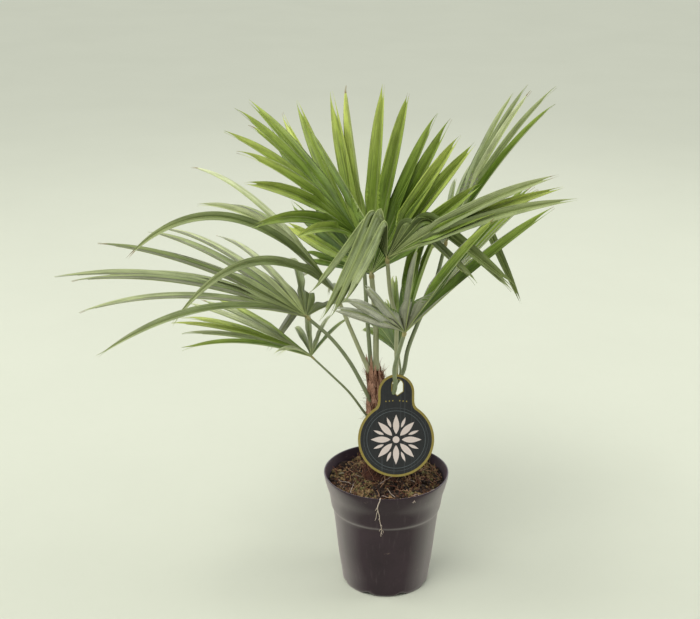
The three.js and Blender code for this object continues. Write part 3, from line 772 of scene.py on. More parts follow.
def make_soil_fibres():
    """Bits of fibre and pale rootlets that lie on the soil, and tufts of moss."""
    rng = random.Random(42)
    fibres = Bundle()
    for _ in range(BITS):
        x, y = scatter_place(rng, clear=TRUNK_CLEAR - 3)
        way = (sway(rng), sway(rng), rng.uniform(0, 0.55))
        line = curl(rng, (x, y, soil_height(x, y) + 0.8), way, rng.uniform(*BIT_LENGTH), 0.5, 6, 0.1)
        if not inside_pot(line):
            continue
        size = rng.uniform(*BIT_SIZE)
        fibres.add_strand(line, size, size * 0.5, 3, rng.choice(BIT_FINISHES))
    for _ in range(ROOTLETS):
        x, y = scatter_place(rng)
        way = (sway(rng), sway(rng), 0.15)
        line = curl(rng, (x, y, soil_height(x, y) + 1), way, rng.uniform(*ROOTLET_LENGTH), 0.45, 9, 0.06)
        if inside_pot(line):
            fibres.add_strand(line, 0.45, 0.2, 5, "rootlet")
    for _ in range(MOSS_TUFTS):
        x, y = scatter_place(rng)
        if not mossy(x, y):
            continue
        z = soil_height(x, y)
        for _ in range(MOSS_BLADES):
            way = (sway(rng), sway(rng), rng.uniform(0.5, 1.6))
            start = (x + sway(rng, 2), y + sway(rng, 2), z)
            line = curl(rng, start, way, rng.uniform(*MOSS_LENGTH), 0.35, 3)
            fibres.add_strand(line, 0.5, 0.12, 3, "moss")
    seat(fibres.piece("soil_fibres"), "soil")


def on_pot(x, z):
    """The place on the pot's front wall at a sideways offset and a height, a little proud of it."""
    radius = np.interp(z, [height for _, height in POT_OUTSIDE], [r for r, _ in POT_OUTSIDE]) + 0.5
    return [x, -math.sqrt(radius ** 2 - x ** 2), z]


# White roots that hang over the front of the rim: radius at the start, then sideways offset and
# height of each point on the pot's wall.
HANGING_ROOTS = [
    (0.75, [(-9.4, 141.5), (-11.2, 136), (-11.8, 131), (-11, 126), (-9.6, 120), (-9.2, 114), (-8.2, 108),
            (-7, 103), (-6.6, 98), (-7.2, 93), (-7.4, 89)]),
    (0.5, [(-11.6, 133), (-13.6, 129), (-14.4, 127)]),
    (0.5, [(-11.3, 128), (-12.8, 122), (-13.2, 117), (-14.6, 112)]),
    (0.4, [(-9.4, 116), (-10.8, 113)]),
    (0.4, [(-8, 107), (-6, 105)]),
    (0.45, [(-6.9, 101), (-9, 98), (-9.4, 96)]),
    (0.4, [(-6.7, 99), (-4.8, 97), (-4.6, 94)]),
    (0.4, [(-7, 94), (-5.4, 92)]),
    (0.4, [(31, 139), (30.2, 135.6)]),
    (0.35, [(31, 139), (32.4, 136)]),
    (0.35, [(30.8, 138), (28.8, 136.4)]),
]
# The longest root's way out of the soil and over the rim.
OVER_RIM = [(-7, -66, 135.5), (-8, -70.5, 139.5), (-8.6, -73.6, 144.6), (-9, -75.6, 144.2)]


def make_hanging_roots():
    roots = Bundle()
    for k, (size, places) in enumerate(HANGING_ROOTS):
        line = (OVER_RIM if k == 0 else []) + [on_pot(x, z) for x, z in places]
        roots.add_strand(smooth_line(np.array(line), 3), size, size * 0.45, 6, "rootlet")
    seat(roots.piece("hanging_roots"), "soil")


# ---------------------------------------------------------------- trunk

TRUNK_FOOT = np.array([-7.5, 3, 137])
TRUNK_TOP = np.array([-14, 3, 271])
TRUNK_TALL = TRUNK_TOP[2] - TRUNK_FOOT[2]
# The trunk's radius at shares of its height: root flare, sheathed body, torn top.
TRUNK_TAPER = [
    (0, 22), (0.04, 19), (0.1, 16.5), (0.25, 13.5), (0.45, 11.5), (0.65, 10), (0.85, 8.6), (1, 7.4),
]
TRUNK_BARREL = 10  # the bark starts as a plain barrel of this radius
TRUNK_SUNK = 3  # how far it goes down into the soil
TRUNK_HOLLOW = 4  # how deep its torn top sinks in to the middle
TRUNK_STEPS = 96
TRUNK_ROWS = 120
SHEATH_PITCH = 24  # height between the edges of the old leaf sheaths
SHEATH_THICKNESS = 0.3
FIBRES = 460
HAIRS = 620
TUFT = 140  # upright hairs round the trunk's top
FIBRE_PARTS = 8
FIBRE_RISE, FIBRE_TURN, FIBRE_SIZE = (12, 34), (0.25, 1.3), (0.18, 0.36)
HAIR_LENGTH, HAIR_SIZE = (3, 13), (0.12, 0.24)
TUFT_LENGTH, TUFT_LEAN, TUFT_SWAY = (5, 17), 0.35, 0.25
# How often each finish comes up in the net of fibres and in the tuft.
NET_FINISHES = ["fibre_dark"] * 3 + ["fibre_red"] * 5 + ["fibre_tan"] * 2
TUFT_FINISHES = ["fibre_red"] * 2 + ["fibre_tan"] * 3


def trunk_radius(share):
    return float(np.interp(share, *zip(*TRUNK_TAPER)))


def trunk_relief(angle, height):
    """How far the sheathed bark stands out at a bearing and a height over the foot."""
    lap = (height / SHEATH_PITCH + angle / FULL_TURN + 0.25 * math.sin(2 * angle)) % 1
    place = Vector((math.cos(angle) * 9, math.sin(angle) * 9, height / 16))
    threads = noise.noise(place) + 0.5 * noise.noise(place * 2.3)
    return 1.5 * lap ** 2 + 0.8 * threads


def on_trunk(angle, height, proud=0.0):
    """A place on the trunk's bark."""
    share = height / TRUNK_TALL
    radius = trunk_radius(share) + trunk_relief(angle, height) + proud
    out = np.array([math.cos(angle), math.sin(angle), 0])
    return TRUNK_FOOT + (TRUNK_TOP - TRUNK_FOOT) * share + radius * out


def make_trunk():
    foot = [(0, -TRUNK_SUNK), (TRUNK_BARREL - 2, -TRUNK_SUNK)]
    side = [(TRUNK_BARREL, TRUNK_TALL * k / TRUNK_ROWS) for k in range(TRUNK_ROWS + 1)]
    bm = spin_profile(foot + side + [(TRUNK_BARREL / 2, TRUNK_TALL), (0, TRUNK_TALL)], TRUNK_STEPS)
    for vert in bm.verts:
        x, y, z = (value / MM for value in vert.co)
        height = min(max(z, 0), TRUNK_TALL)
        place = on_trunk(math.atan2(y, x), height) - (0, 0, height - z)
        centre = TRUNK_FOOT + (TRUNK_TOP - TRUNK_FOOT) * height / TRUNK_TALL
        reach = min(1, math.hypot(x, y) / TRUNK_BARREL)
        place[:2] = centre[:2] + (place[:2] - centre[:2]) * reach
        if z >= TRUNK_TALL and reach < 1:
            place[2] -= TRUNK_HOLLOW * (1 - reach)
        vert.co = Vector(place) * MM
    bmesh.ops.recalc_face_normals(bm, faces=bm.faces)
    seat(from_bmesh("trunk_bark", bm, ["trunk_bark"]), "trunk", "trunk")


def net_line(rng):
    """A fibre's way round the bark and up it."""
    angle = rng.uniform(0, FULL_TURN)
    height = rng.uniform(-2, TRUNK_TALL - 8)
    rise = rng.uniform(*FIBRE_RISE)
    turn = rng.choice((-1, 1)) * rng.uniform(*FIBRE_TURN)
    line = []
    for part in range(FIBRE_PARTS + 1):
        t = part / FIBRE_PARTS
        proud = 0.35 + 0.5 * math.sin(math.pi * t) + sway(rng, 0.15)
        line.append(on_trunk(angle + turn * t, min(max(height + rise * t, 0.3), TRUNK_TALL), proud))
    return line


def make_trunk_fibres():
    """The net of old sheath fibres that winds both ways round the trunk, and its loose hairs."""
    rng = random.Random(43)
    net = Bundle()
    for _ in range(FIBRES):
        line = net_line(rng)
        size = rng.uniform(*FIBRE_SIZE)
        net.add_strand(line, size, size, 3, rng.choice(NET_FINISHES))
    for _ in range(HAIRS):
        angle = rng.uniform(0, FULL_TURN)
        height = TRUNK_TALL * rng.uniform(0.05, 1) ** 0.6
        out = (math.cos(angle), math.sin(angle), rng.uniform(-0.2, 1.4))
        line = curl(rng, on_trunk(angle, height, -0.5), out, rng.uniform(*HAIR_LENGTH), 0.4, 5, 0.05)
        net.add_strand(line, rng.uniform(*HAIR_SIZE), 0.06, 3, rng.choice(NET_FINISHES))
    for _ in range(TUFT):
        angle = rng.uniform(0, FULL_TURN)
        start = on_trunk(angle, TRUNK_TALL - rng.uniform(0, 16), rng.uniform(-2, 0.8))
        way = (TUFT_LEAN * math.cos(angle) + sway(rng, TUFT_SWAY),
               TUFT_LEAN * math.sin(angle) + sway(rng, TUFT_SWAY), 1)
        line = curl(rng, start, way, rng.uniform(*TUFT_LENGTH), 0.25, 5)
        net.add_strand(line, 0.3, 0.08, 3, rng.choice(TUFT_FINISHES))
    seat(net.piece("trunk_fibres"), "trunk")


# Torn sheaths round the trunk's top: bearing, half its span in degrees, foot and top heights over
# the trunk's foot, and how far the top leans out.
TORN_SHEATHS = [
    (-125, 34, 84, 160, 1.2), (-60, 30, 80, 142, 1.2), (160, 36, 76, 158, 2), (65, 40, 88, 146, 1.2),
    (-92, 24, 92, 150, 0.8), (5, 44, 70, 134, 1.4), (-150, 40, 58, 112, 2), (100, 50, 48, 98, 2),
    (-95, 44, 40, 84, 2),
]


def make_torn_sheath(rng, bearing, half, low, high, lean):
    """A ragged sheet that follows the bark and is torn along its top."""
    bm = bmesh.new()
    bmesh.ops.create_grid(bm, x_segments=22, y_segments=14, size=1)
    seed = rng.uniform(0, 50)
    for vert in bm.verts:
        u, v = vert.co.x, (vert.co.y + 1) / 2
        torn = 1 - 0.5 * abs(noise.noise(Vector((u * 4, seed, 0)))) - 0.3 * u ** 2
        height = low + (high - low) * v * torn
        angle = math.radians(bearing + half * u * (1 - 0.35 * v))
        proud = 0.6 + lean * v ** 2 + 0.5 * noise.noise(Vector((u * 3, v * 2, seed)))
        place = on_trunk(angle, min(height, TRUNK_TALL), proud)
        place[2] += max(0, height - TRUNK_TALL)
        vert.co = Vector(place) * MM
    inner = bmesh.ops.extrude_face_region(bm, geom=bm.faces[:], use_keep_orig=True)["geom"]
    bm.normal_update()
    for vert in inner:
        if isinstance(vert, bmesh.types.BMVert):
            vert.co -= vert.normal * SHEATH_THICKNESS * MM
    bmesh.ops.recalc_face_normals(bm, faces=bm.faces)
    return bm


def make_torn_sheaths():
    rng = random.Random(44)
    for k, sheath in enumerate(TORN_SHEATHS):
        bm = make_torn_sheath(rng, *sheath)
        seat(from_bmesh(f"torn_sheath_{k + 1}", bm, ["torn_sheath"]), "trunk")


# ---------------------------------------------------------------- tag

TAG_CENTRE = Vector((10, -38, 203))
TAG_LEAN = 12.8  # degrees from upright, top to the back
TAG_RADIUS = 44.5
TAG_TAB = 21  # half width of the tab, and radius of its head
TAG_HEIGHT = 77  # the tab's top over the disc's middle
TAG_THICKNESS = 1.2
TAG_SHOULDER = 47  # height where the shoulder's curve meets the tab
TAG_SHOULDER_TURN = 6  # degrees of the disc's rim that each shoulder's curve takes up
TAG_BORDER = 2.8  # the gold edge that the print leaves free
TAG_RELIEF = 0.12  # how far the print stands proud of the card
HOLE = {"centre": 1.4, "half": 6.2, "low": 52.5, "knee": 57, "top": 71}
HOLE_BORDER = 1
# Each ring of petals: length, width, distance from the middle and the first one's bearing.
PETAL_RINGS = [(23, 7.2, 6.6, math.pi / 2), (13, 3.4, 15.5, math.pi / 8)]
PETALS = 8
PETAL_STEPS = 12
ROSETTE_EYE = 4
THIN_RINGS = (34.4, 33.8, 37.6, 37.3)  # outer and inner radius of one, then of the other
DOTS = (-12, -8, -4, 4, 8, 12)
DOT_RADIUS = 0.8
DOT_HEIGHT = 46.5


def arc(centre, radius, start, end, steps):
    """Points of an arc about a centre (x, y), by angles in radians."""
    return [(centre[0] + radius * math.cos(start + (end - start) * k / steps),
             centre[1] + radius * math.sin(start + (end - start) * k / steps)) for k in range(steps + 1)]


def circle(centre, radius, steps):
    return arc(centre, radius, 0, FULL_TURN, steps)[:-1]


def tag_outline(inset):
    """The keyhole outline of the tag, drawn in from its edge."""
    radius, tab = TAG_RADIUS - inset, TAG_TAB - inset
    start = math.acos(tab / radius) - math.radians(TAG_SHOULDER_TURN)
    bend = radius * math.sin(math.acos(tab / radius)) + 1
    first = (radius * math.cos(start), radius * math.sin(start))
    shoulder = [((1 - t) ** 2 * first[0] + 2 * t * (1 - t) * tab + t * t * tab,
                 (1 - t) ** 2 * first[1] + 2 * t * (1 - t) * bend + t * t * TAG_SHOULDER)
                for t in (0.2, 0.4, 0.6, 0.8, 1)]
    disc = arc((0, 0), radius, math.pi - start, FULL_TURN + start, 72)
    head = arc((0, TAG_HEIGHT - TAG_TAB), tab, 0, math.pi, 36)
    mirrored = [(-x, y) for x, y in reversed(shoulder)]
    return disc + shoulder + head + mirrored


def tag_hole(grow):
    """The opening in the tab, pointed below and round above, widened by grow."""
    centre, half = HOLE["centre"], HOLE["half"] + grow
    point = [(centre - half, HOLE["knee"]), (centre, HOLE["low"] - grow), (centre + half, HOLE["knee"])]
    return point + arc((centre, HOLE["top"] - HOLE["half"]), half, 0, math.pi, 20)


def lens(length, width, foot, turn):
    """A petal's outline: it starts foot out from the centre and points along turn."""
    side = []
    for k in range(PETAL_STEPS + 1):
        share = k / PETAL_STEPS
        side.append((foot + length * k / PETAL_STEPS, width / 2 * math.sin(math.pi * share ** 0.85)))
    outline = side + [(x, -y) for x, y in reversed(side[1:-1])]
    c, s = math.cos(turn), math.sin(turn)
    return [(x * c - y * s, x * s + y * c) for x, y in outline]


def flat_piece(name, outlines, depth, lift, finish):
    """A flat plate on the tag with the outlines' shape. lift is its middle's place over the card."""
    data = bpy.data.curves.new(name, "CURVE")
    data.dimensions = "2D"
    data.fill_mode = "BOTH"
    data.extrude = depth * MM / 2
    for outline in outlines:
        spline = data.splines.new("POLY")
        spline.points.add(len(outline) - 1)
        for point, (x, y) in zip(spline.points, outline):
            point.co = (x * MM, y * MM, 0, 1)
        spline.use_cyclic_u = True
    curve = bpy.data.objects.new(name + "_line", data)
    bpy.context.scene.collection.objects.link(curve)
    mesh = baked(curve)
    bpy.data.objects.remove(curve)
    bm = bmesh.new()
    bm.from_mesh(mesh)
    bmesh.ops.remove_doubles(bm, verts=bm.verts, dist=0.000005)
    bmesh.ops.recalc_face_normals(bm, faces=bm.faces)
    turn = Matrix.Rotation(math.radians(90 - TAG_LEAN), 4, "X")
    place = Matrix.Translation(TAG_CENTRE * MM) @ turn @ Matrix.Translation((0, 0, lift * MM))
    bmesh.ops.transform(bm, matrix=place, verts=bm.verts)
    return from_bmesh(name, bm, [finish], smooth=False)


def make_tag():
    """The card, its dark print with a gold edge left free, and a plain rosette in pale ink."""
    seat(flat_piece("tag_card", [tag_outline(0), tag_hole(0)], TAG_THICKNESS, 0, "tag_edge"), "tag", "tag")
    ground = [tag_outline(TAG_BORDER), tag_hole(HOLE_BORDER)]
    petals = [lens(length, width, foot, first + FULL_TURN * k / PETALS)
              for length, width, foot, first in PETAL_RINGS for k in range(PETALS)]
    petals.append(circle((0, 0), ROSETTE_EYE, 24))
    rings = [circle((0, 0), radius, 72) for radius in THIN_RINGS]
    dots = [circle((x, DOT_HEIGHT - abs(x) * 0.1), DOT_RADIUS, 12) for x in DOTS]
    front = (TAG_THICKNESS + TAG_RELIEF) / 2
    raised = front + TAG_RELIEF
    printed = [
        ("tag_print_front", ground, front, "tag_face"), ("tag_print_back", ground, -front, "tag_face"),
        ("tag_rosette", petals, raised, "tag_petal"), ("tag_rings", rings, raised, "tag_line"),
        ("tag_dots", dots, raised, "tag_edge"),
    ]
    for name, outlines, lift, finish in printed:
        seat(flat_piece(name, outlines, TAG_RELIEF, lift, finish), "tag")


# ---------------------------------------------------------------- fronds: sizes

GAP = 0.3  # clearance between pieces that touch on the real plant
PATH_STEPS = 24  # steps of a leaflet's centre line
SPLIT = 80  # the leaflets are joined edge to edge about as far as this from the hub
PLEAT = 0.2  # how far a leaflet's space rises from its rib to its edges, as a share of its width
SLENDER = 0.45  # share of its width that a leaflet loses at 100 degrees of turn
FOLD_SHARE = 0.16  # share of the length over which a folded leaflet turns
TWIST = 24  # most that a leaflet turns about its rib on the way to its tip, degrees
LEAN_RATE = 2.5  # a frond's lean is reached at one over this share of a leaflet's length
# The range of a leaflet's differences: turn and lift in degrees, length and droop as shares.
SPREAD = {"turn": 2, "lift": 4, "length": 0.05, "droop": 0.3}
KNOB_LENGTH = 10
KNOB_START = 0.45  # the leaflets spring from this share of the knob's length
ROOT_WIDTH = 3  # a leaflet's width where it springs from the knob
CELL = 5  # leaflets of two fronds, or a leaflet and a stalk, stay at least this far apart
OWN_STALK = 16  # a leaflet may come near its own stalk as far as this from the hub
STEP_PARTS = 5  # points along each step of a leaflet, for the space that it takes
LIMB_STEP = CELL / 2  # spacing of such points along the stalks and the trunk, and on the tag
# Turn and lift, in degrees, that are tried in this order where a leaflet would touch.
DODGES = [
    (0, 0), (4, 0), (-4, 0), (0, 6), (0, -6), (7, 4), (-7, 4), (7, -6), (-7, -6), (0, 12), (0, -12),
    (10, 8), (-10, 8), (10, -10), (-10, -10), (0, 18), (0, -18), (14, 0), (-14, 0),
]

# Each frond: its hub, its stalk's way up to the hub, the stalk's radius at foot and hub, and the
# blade. aim is the bearing and rise of the blade's middle, roll turns the blade about it, cup lifts
# the leaflets out of the blade's plane, and lean turns each leaflet about its own rib. A fan group is
# (from, to, count, reach, droop): its leaflets' turns in degrees, and shares of the frond's reach and
# droop. A folded leaflet is (turn, at, bearing, rise, reach): at that share of its length it goes on
# towards the bearing. top and under give each side's skin, with the range of its tones. slim narrows
# a frond's finer leaflets, web brings their splits nearer to the hub, and green is the share of an
# olive frond's leaflets that are still green.
PLAIN_FROND = dict(lean=0, folded=(), slim=1, web=1, green=0.3)  # what holds where a frond doesn't say
FRONDS = {
    "centre_front": dict(
        PLAIN_FROND, hub=(-3, -70, 431), stalk_radius=(2.6, 2.2), stalk_finish="stalk_pale",
        stalk=[(-4, 0, 226), (6, -9, 243), (10, -17, 279), (9, -36, 318), (8, -49, 357), (1, -61, 390)],
        aim=(77, 88), roll=-35, cup=-4, reach=242, droop=0.26, width=18, seed=13, slim=0.86, web=0.72,
        fan=[(49, 49, 1, 0.79, 0.5), (-55, -58, 2, 1.06, 1.1), (-61, -61, 1, 1.1, 1.1)],
        folded=[
            (36, 0.3, 215, -45, 0.66), (26, 0.27, 226, -55, 0.78), (14, 0.27, 226, -55, 0.76),
            (4, 0.26, 222, -52, 0.6), (-27, 0.31, 325, -32, 0.62), (-34, 0.33, 326, -31, 0.84),
            (-42, 0.36, 327, -29, 0.8),
        ],
        top=("olive", 1.1, 3), under=("olive", 1, 2.6),
    ),
    "right_front": dict(
        PLAIN_FROND, hub=(16, -75, 348), stalk_radius=(2.7, 2.3), stalk_finish="stalk_green",
        stalk=[(-8, -3, 214), (0, -15, 239), (8.4, -28.2, 263), (7, -39, 291), (10, -53, 314)],
        aim=(341, 52), roll=-11, cup=6, lean=45, reach=262, droop=0.16, width=16, seed=14,
        fan=[(-68, -60, 3, 1, 1), (-42, -42, 1, 0.8, 1), (-17, -9, 2, 0.86, 1), (0, 30, 4, 0.82, 1.4),
             (50, 62, 2, 0.74, 1)],
        top=("green", 0, 1.6), under=("silver", 0.4, 2.6),
    ),
    "left_upper": dict(
        PLAIN_FROND, hub=(-90, -46, 356), stalk_radius=(2.5, 2), stalk_finish="stalk_green",
        stalk=[(-16, 0, 226), (-23, -5, 245), (-44, -15, 291), (-67, -32, 329)],
        aim=(165, 20), roll=9, cup=8, reach=282, droop=0.5, width=17, seed=11, slim=0.82,
        fan=[(-94, -69, 2, 0.98, 1), (-46, -27, 2, 0.95, 0.9), (-9, 10, 2, 0.78, 0.9),
             (20, 38, 3, 0.85, 0.9), (43, 55, 3, 1.08, 0.9), (72, 72, 1, 1.42, 1.1)],
        folded=[(-76, 0.45, 213, -48, 0.56)],
        top=("olive", 1.6, 3.8), under=("silver", 0.8, 2.4), green=0,
    ),
    "left_lower": dict(
        PLAIN_FROND, hub=(-85, -60, 314), stalk_radius=(1.6, 1.2), stalk_finish="stalk_green",
        stalk=[(-14, -1, 204), (-26, -8, 223), (-44, -22, 255), (-64, -42, 285)],
        aim=(161, 1), roll=16, cup=14, lean=-20, reach=202, droop=0.22, width=14, seed=12,
        fan=[(-88, -12, 8, 0.94, 0.9), (8, 50, 3, 0.8, 1.4), (70, 70, 1, 1.03, 1.7), (92, 92, 1, 0.7, 2)],
        top=("olive", 2.4, 4.2), under=("olive", 2.4, 4.2), slim=0.7, web=0.4,
    ),
    "back_tall": dict(
        PLAIN_FROND, hub=(-18, 46, 374), stalk_radius=(3.6, 3), stalk_finish="stalk_pale",
        stalk=[(-12.6, 5.6, 271.6), (-13, 12, 288), (-13.5, 27, 324)],
        aim=(90, 85), roll=-44, cup=0, reach=228, droop=0.02, width=21, seed=17,
        fan=[(47, 33, 3, 1.03, 1), (18, 13, 2, 0.96, 1), (-4, -25, 3, 0.97, 1), (-31, -42, 3, 1, 1),
             (-52, -66, 2, 0.94, 2), (62, 74, 2, 0.66, 2), (86, 86, 1, 0.5, 3)],
        top=("green", 0.9, 3.5), under=("green", 0.9, 3.5),
    ),
    "right_back": dict(
        PLAIN_FROND, hub=(68, 49, 413), stalk_radius=(2.7, 2.2), stalk_finish="stalk_green",
        stalk=[(-6, 5, 238), (8, 4, 253), (19, 3, 272), (24, 8, 297), (36, 20, 326), (55, 37, 366)],
        aim=(2, 63), roll=-3, cup=1, lean=34, reach=230, droop=0.36, width=16, seed=19, slim=0.72, web=0.7,
        fan=[(112, 60, 5, 0.9, 1.2), (44, 27, 2, 0.9, 0.9), (12, 2, 2, 0.88, 1), (-12, -24, 2, 1, 1)],
        folded=[(-42, 0.38, 4, -65, 0.94)],
        top=("olive", 0.5, 3.6), under=("silver", 0, 3),
    ),
    "back_left": dict(
        PLAIN_FROND, hub=(-30, 35, 420), stalk_radius=(2.6, 2.2), stalk_finish="stalk_green",
        stalk=[(-18.6, 8.6, 271.6), (-21, 17, 300), (-24, 24, 340), (-27, 31, 388)],
        aim=(177, 52), roll=3, cup=-2, lean=-35, reach=236, droop=0.33, width=17, seed=16,
        fan=[(-24, -24, 1, 0.93, 0.8), (-11, -11, 1, 0.8, 0.9), (1, 1, 1, 0.9, 0.9),
             (14, 26, 2, 0.9, 1.2), (38, 38, 1, 0.9, 1.5), (52, 52, 1, 1.06, 1.8), (68, 68, 1, 0.95, 1.3)],
        top=("green", 1.3, 3.8), under=("olive", 1.2, 3.2),
    ),
    "left_mid": dict(
        PLAIN_FROND, hub=(-59, 17, 361), stalk_radius=(2.7, 2.2), stalk_finish="stalk_pale",
        stalk=[(-20.2, 1, 271.6), (-25, 4, 281), (-41, 9, 318)],
        aim=(170, 52), roll=16, cup=-3, lean=-35, reach=300, droop=0.75, width=17, seed=18, slim=0.72,
        fan=[(-95, -66, 3, 0.9, 0.6), (-50, -50, 1, 0.97, 0.9), (-29, -29, 1, 0.92, 0.8),
             (8, 8, 1, 0.66, 1.3), (30, 30, 1, 1.02, 1.9), (53, 53, 1, 1.05, 1.75)],
        top=("olive", 2, 4), under=("silver", 0.8, 2.6), green=0,
    ),
    "right_lower": dict(
        PLAIN_FROND, hub=(13, -14, 297), stalk_radius=(1.5, 1.2), stalk_finish="stalk_green",
        stalk=[(-3.5, 4, 230), (9, -2.5, 252), (15, -9, 275)],
        aim=(38, 54), roll=-30, cup=6, lean=15, reach=196, droop=0.5, width=14, seed=15,
        fan=[(84, 64, 3, 1, 0.8), (48, 8, 4, 0.92, 1), (-4, -14, 2, 0.86, 1.3)],
        top=("green", 0.4, 3.2), under=("green", 0.8, 3),
    ),
}


# ---------------------------------------------------------------- fronds: growth

class Leaflet:
    """One leaflet's seeded differences, and its path once it has grown."""

    def __init__(self, turn, reach, droop, fold, frond, draw):
        self.turn = turn + SPREAD["turn"] * (draw() - 0.5)
        self.lift = frond["cup"] + SPREAD["lift"] * (draw() - 0.5)
        self.length = frond["reach"] * reach * (1 + SPREAD["length"] * (draw() - 0.5))
        self.droop = frond["droop"] * droop * (1 + SPREAD["droop"] * (draw() - 0.5))
        self.twist = TWIST * 2 * (draw() - 0.5)
        self.fold = fold
        self.width = frond["width"] * (1 - SLENDER * (turn / 100) ** 2)
        self.joined = {}

    def half_width(self, distance):
        """Half the blade's width: a wedge as far as the split, then a long taper to the tip."""
        past = np.maximum(0, (distance - SPLIT) / (self.length - SPLIT))
        wedge = self.width * np.minimum(1, distance / SPLIT) * (1 - 0.15 * past - 0.85 * past ** 4)
        return np.where(distance < SPLIT, np.maximum(ROOT_WIDTH, wedge), wedge) / 2

    def place(self, path, turned):
        self.points, self.sides, self.ups = (np.array([step[k] for step in path]) for k in range(3))
        self.distances = np.arange(PATH_STEPS + 1) * self.length / PATH_STEPS
        self.turned = turned

    def at(self, distance):
        """The rib's places and the blade's upper directions at distances from the hub."""
        return read_at(distance, self.distances, self.points), read_at(distance, self.distances, self.ups)


def stream(seed):
    """A repeatable stream of numbers from 0 to 1."""
    factor, step, size = 1664525, 1013904223, 2 ** 32
    state = seed

    def draw():
        nonlocal state
        state = (state * factor + step) % size
        return state / size
    return draw


def towards(bearing, rise):
    b, e = math.radians(bearing), math.radians(rise)
    return np.array([math.cos(e) * math.cos(b), math.cos(e) * math.sin(b), math.sin(e)])


def turned(vector, axis, degrees):
    c, s = math.cos(math.radians(degrees)), math.sin(math.radians(degrees))
    return vector * c + np.cross(axis, vector) * s + axis * (axis @ vector) * (1 - c)


def leaflets_of(frond):
    draw = stream(frond["seed"])
    found = []
    for start, end, count, reach, droop in frond["fan"]:
        for k in range(count):
            turn = start + (end - start) * k / max(1, count - 1)
            found.append(Leaflet(turn, reach, droop, None, frond, draw))
    for turn, at, bearing, rise, reach in frond["folded"]:
        found.append(Leaflet(turn, reach, 1, (at, towards(bearing, rise)), frond, draw))
    return found


def leaflet_path(frond, leaf, dodge):
    """The leaflet's centre line from the hub, as (point, side, up) at each step."""
    ahead = towards(*frond["aim"])
    across = turned(towards(frond["aim"][0] + 90, 0), ahead, frond["roll"])
    upper = np.cross(ahead, across)
    phi = math.radians(leaf.turn + dodge[0])
    cup = math.radians(leaf.lift + dodge[1])
    start = (ahead * math.cos(phi) + across * math.sin(phi)) * math.cos(cup) + upper * math.sin(cup)
    broad = across * math.cos(phi) - ahead * math.sin(phi)
    at = frond["knob"] + frond["knob_way"] * KNOB_LENGTH * KNOB_START
    path = []
    for k in range(PATH_STEPS + 1):
        share = k / PATH_STEPS
        along = start.copy()
        if leaf.fold:
            t = min(1, max(0, (share - leaf.fold[0]) / FOLD_SHARE + 0.5))
            along += (leaf.fold[1] - along) * t * t * (3 - 2 * t)
        else:
            along[2] -= leaf.droop * share ** 1.5
        along = unit(along)
        roll = leaf.twist * share + frond["lean"] * min(1, share * LEAN_RATE)
        side = turned(unit(broad - along * (broad @ along)), along, roll)
        path.append((at, side, np.cross(along, side)))
        at = at + along * leaf.length / PATH_STEPS
    return path


class TakenSpace:
    """The space that is taken, as cells with a border one cell wide round each point."""

    BORDER = np.array([[i, j, k] for i in (-1, 0, 1) for j in (-1, 0, 1) for k in (-1, 0, 1)])
    HALF = 512  # cells on each side of the middle, along each axis

    def __init__(self):
        self.taken = set()

    def cells(self, points):
        return np.floor(points / CELL).astype(np.int64) + self.HALF

    def keys(self, cells):
        """One whole number for each cell."""
        row = 2 * self.HALF
        return ((cells[..., 0] * row + cells[..., 1]) * row + cells[..., 2]).ravel().tolist()

    def add(self, points):
        self.taken.update(self.keys(self.cells(points)[:, None] + self.BORDER))

    def meets(self, points):
        return not self.taken.isdisjoint(self.keys(self.cells(points)))


def blade_points(leaf, path, from_hub):
    """Points all over a leaflet's blade, at most about half a cell apart."""
    points, sides, ups = (np.array([step[k] for step in path]) for k in range(3))
    parts = np.arange(STEP_PARTS) / STEP_PARTS
    centre = (points[:-1, None] + parts[:, None] * (points[1:, None] - points[:-1, None])).reshape(-1, 3)
    distance = (np.arange(PATH_STEPS)[:, None] + parts).ravel() * leaf.length / PATH_STEPS
    half = leaf.half_width(distance)[:, None]
    side, up = (np.repeat(ways[:-1], STEP_PARTS, axis=0) for ways in (sides, ups))
    rows = [centre + side * way * half + up * abs(way) * 2 * half * PLEAT for way in (-1, -0.5, 0, 0.5, 1)]
    return np.concatenate([row[distance >= from_hub] for row in rows])


def limb_points(places, radii):
    """Level rings of points, with their middles, round the places along a stalk or the trunk."""
    angles = [math.pi * k / 3 for k in range(6)]
    rim = np.array([(0, 0, 0)] + [(math.cos(a), math.sin(a), 0) for a in angles])
    return np.concatenate([place + rim * radius for place, radius in zip(places, radii)])


def tag_points():
    """Points all over the tag's card."""
    lean = math.radians(TAG_LEAN)
    found = []
    for u in np.arange(-TAG_RADIUS, TAG_RADIUS + 0.1, LIMB_STEP):
        for v in np.arange(-TAG_RADIUS, TAG_HEIGHT + 0.1, LIMB_STEP):
            if math.hypot(u, v) <= TAG_RADIUS or (abs(u) <= TAG_TAB and v > 0):
                found.append(tuple(TAG_CENTRE + Vector((u, v * math.sin(lean), v * math.cos(lean)))))
    return np.array(found)


def over_pot(points):
    """Whether any point comes within a cell of the pot, taken as a plain cylinder."""
    low = points[:, 2] < RIM_HEIGHT + CELL
    return bool(np.any(low & (np.hypot(points[:, 0], points[:, 1]) < RIM_RADIUS + CELL)))


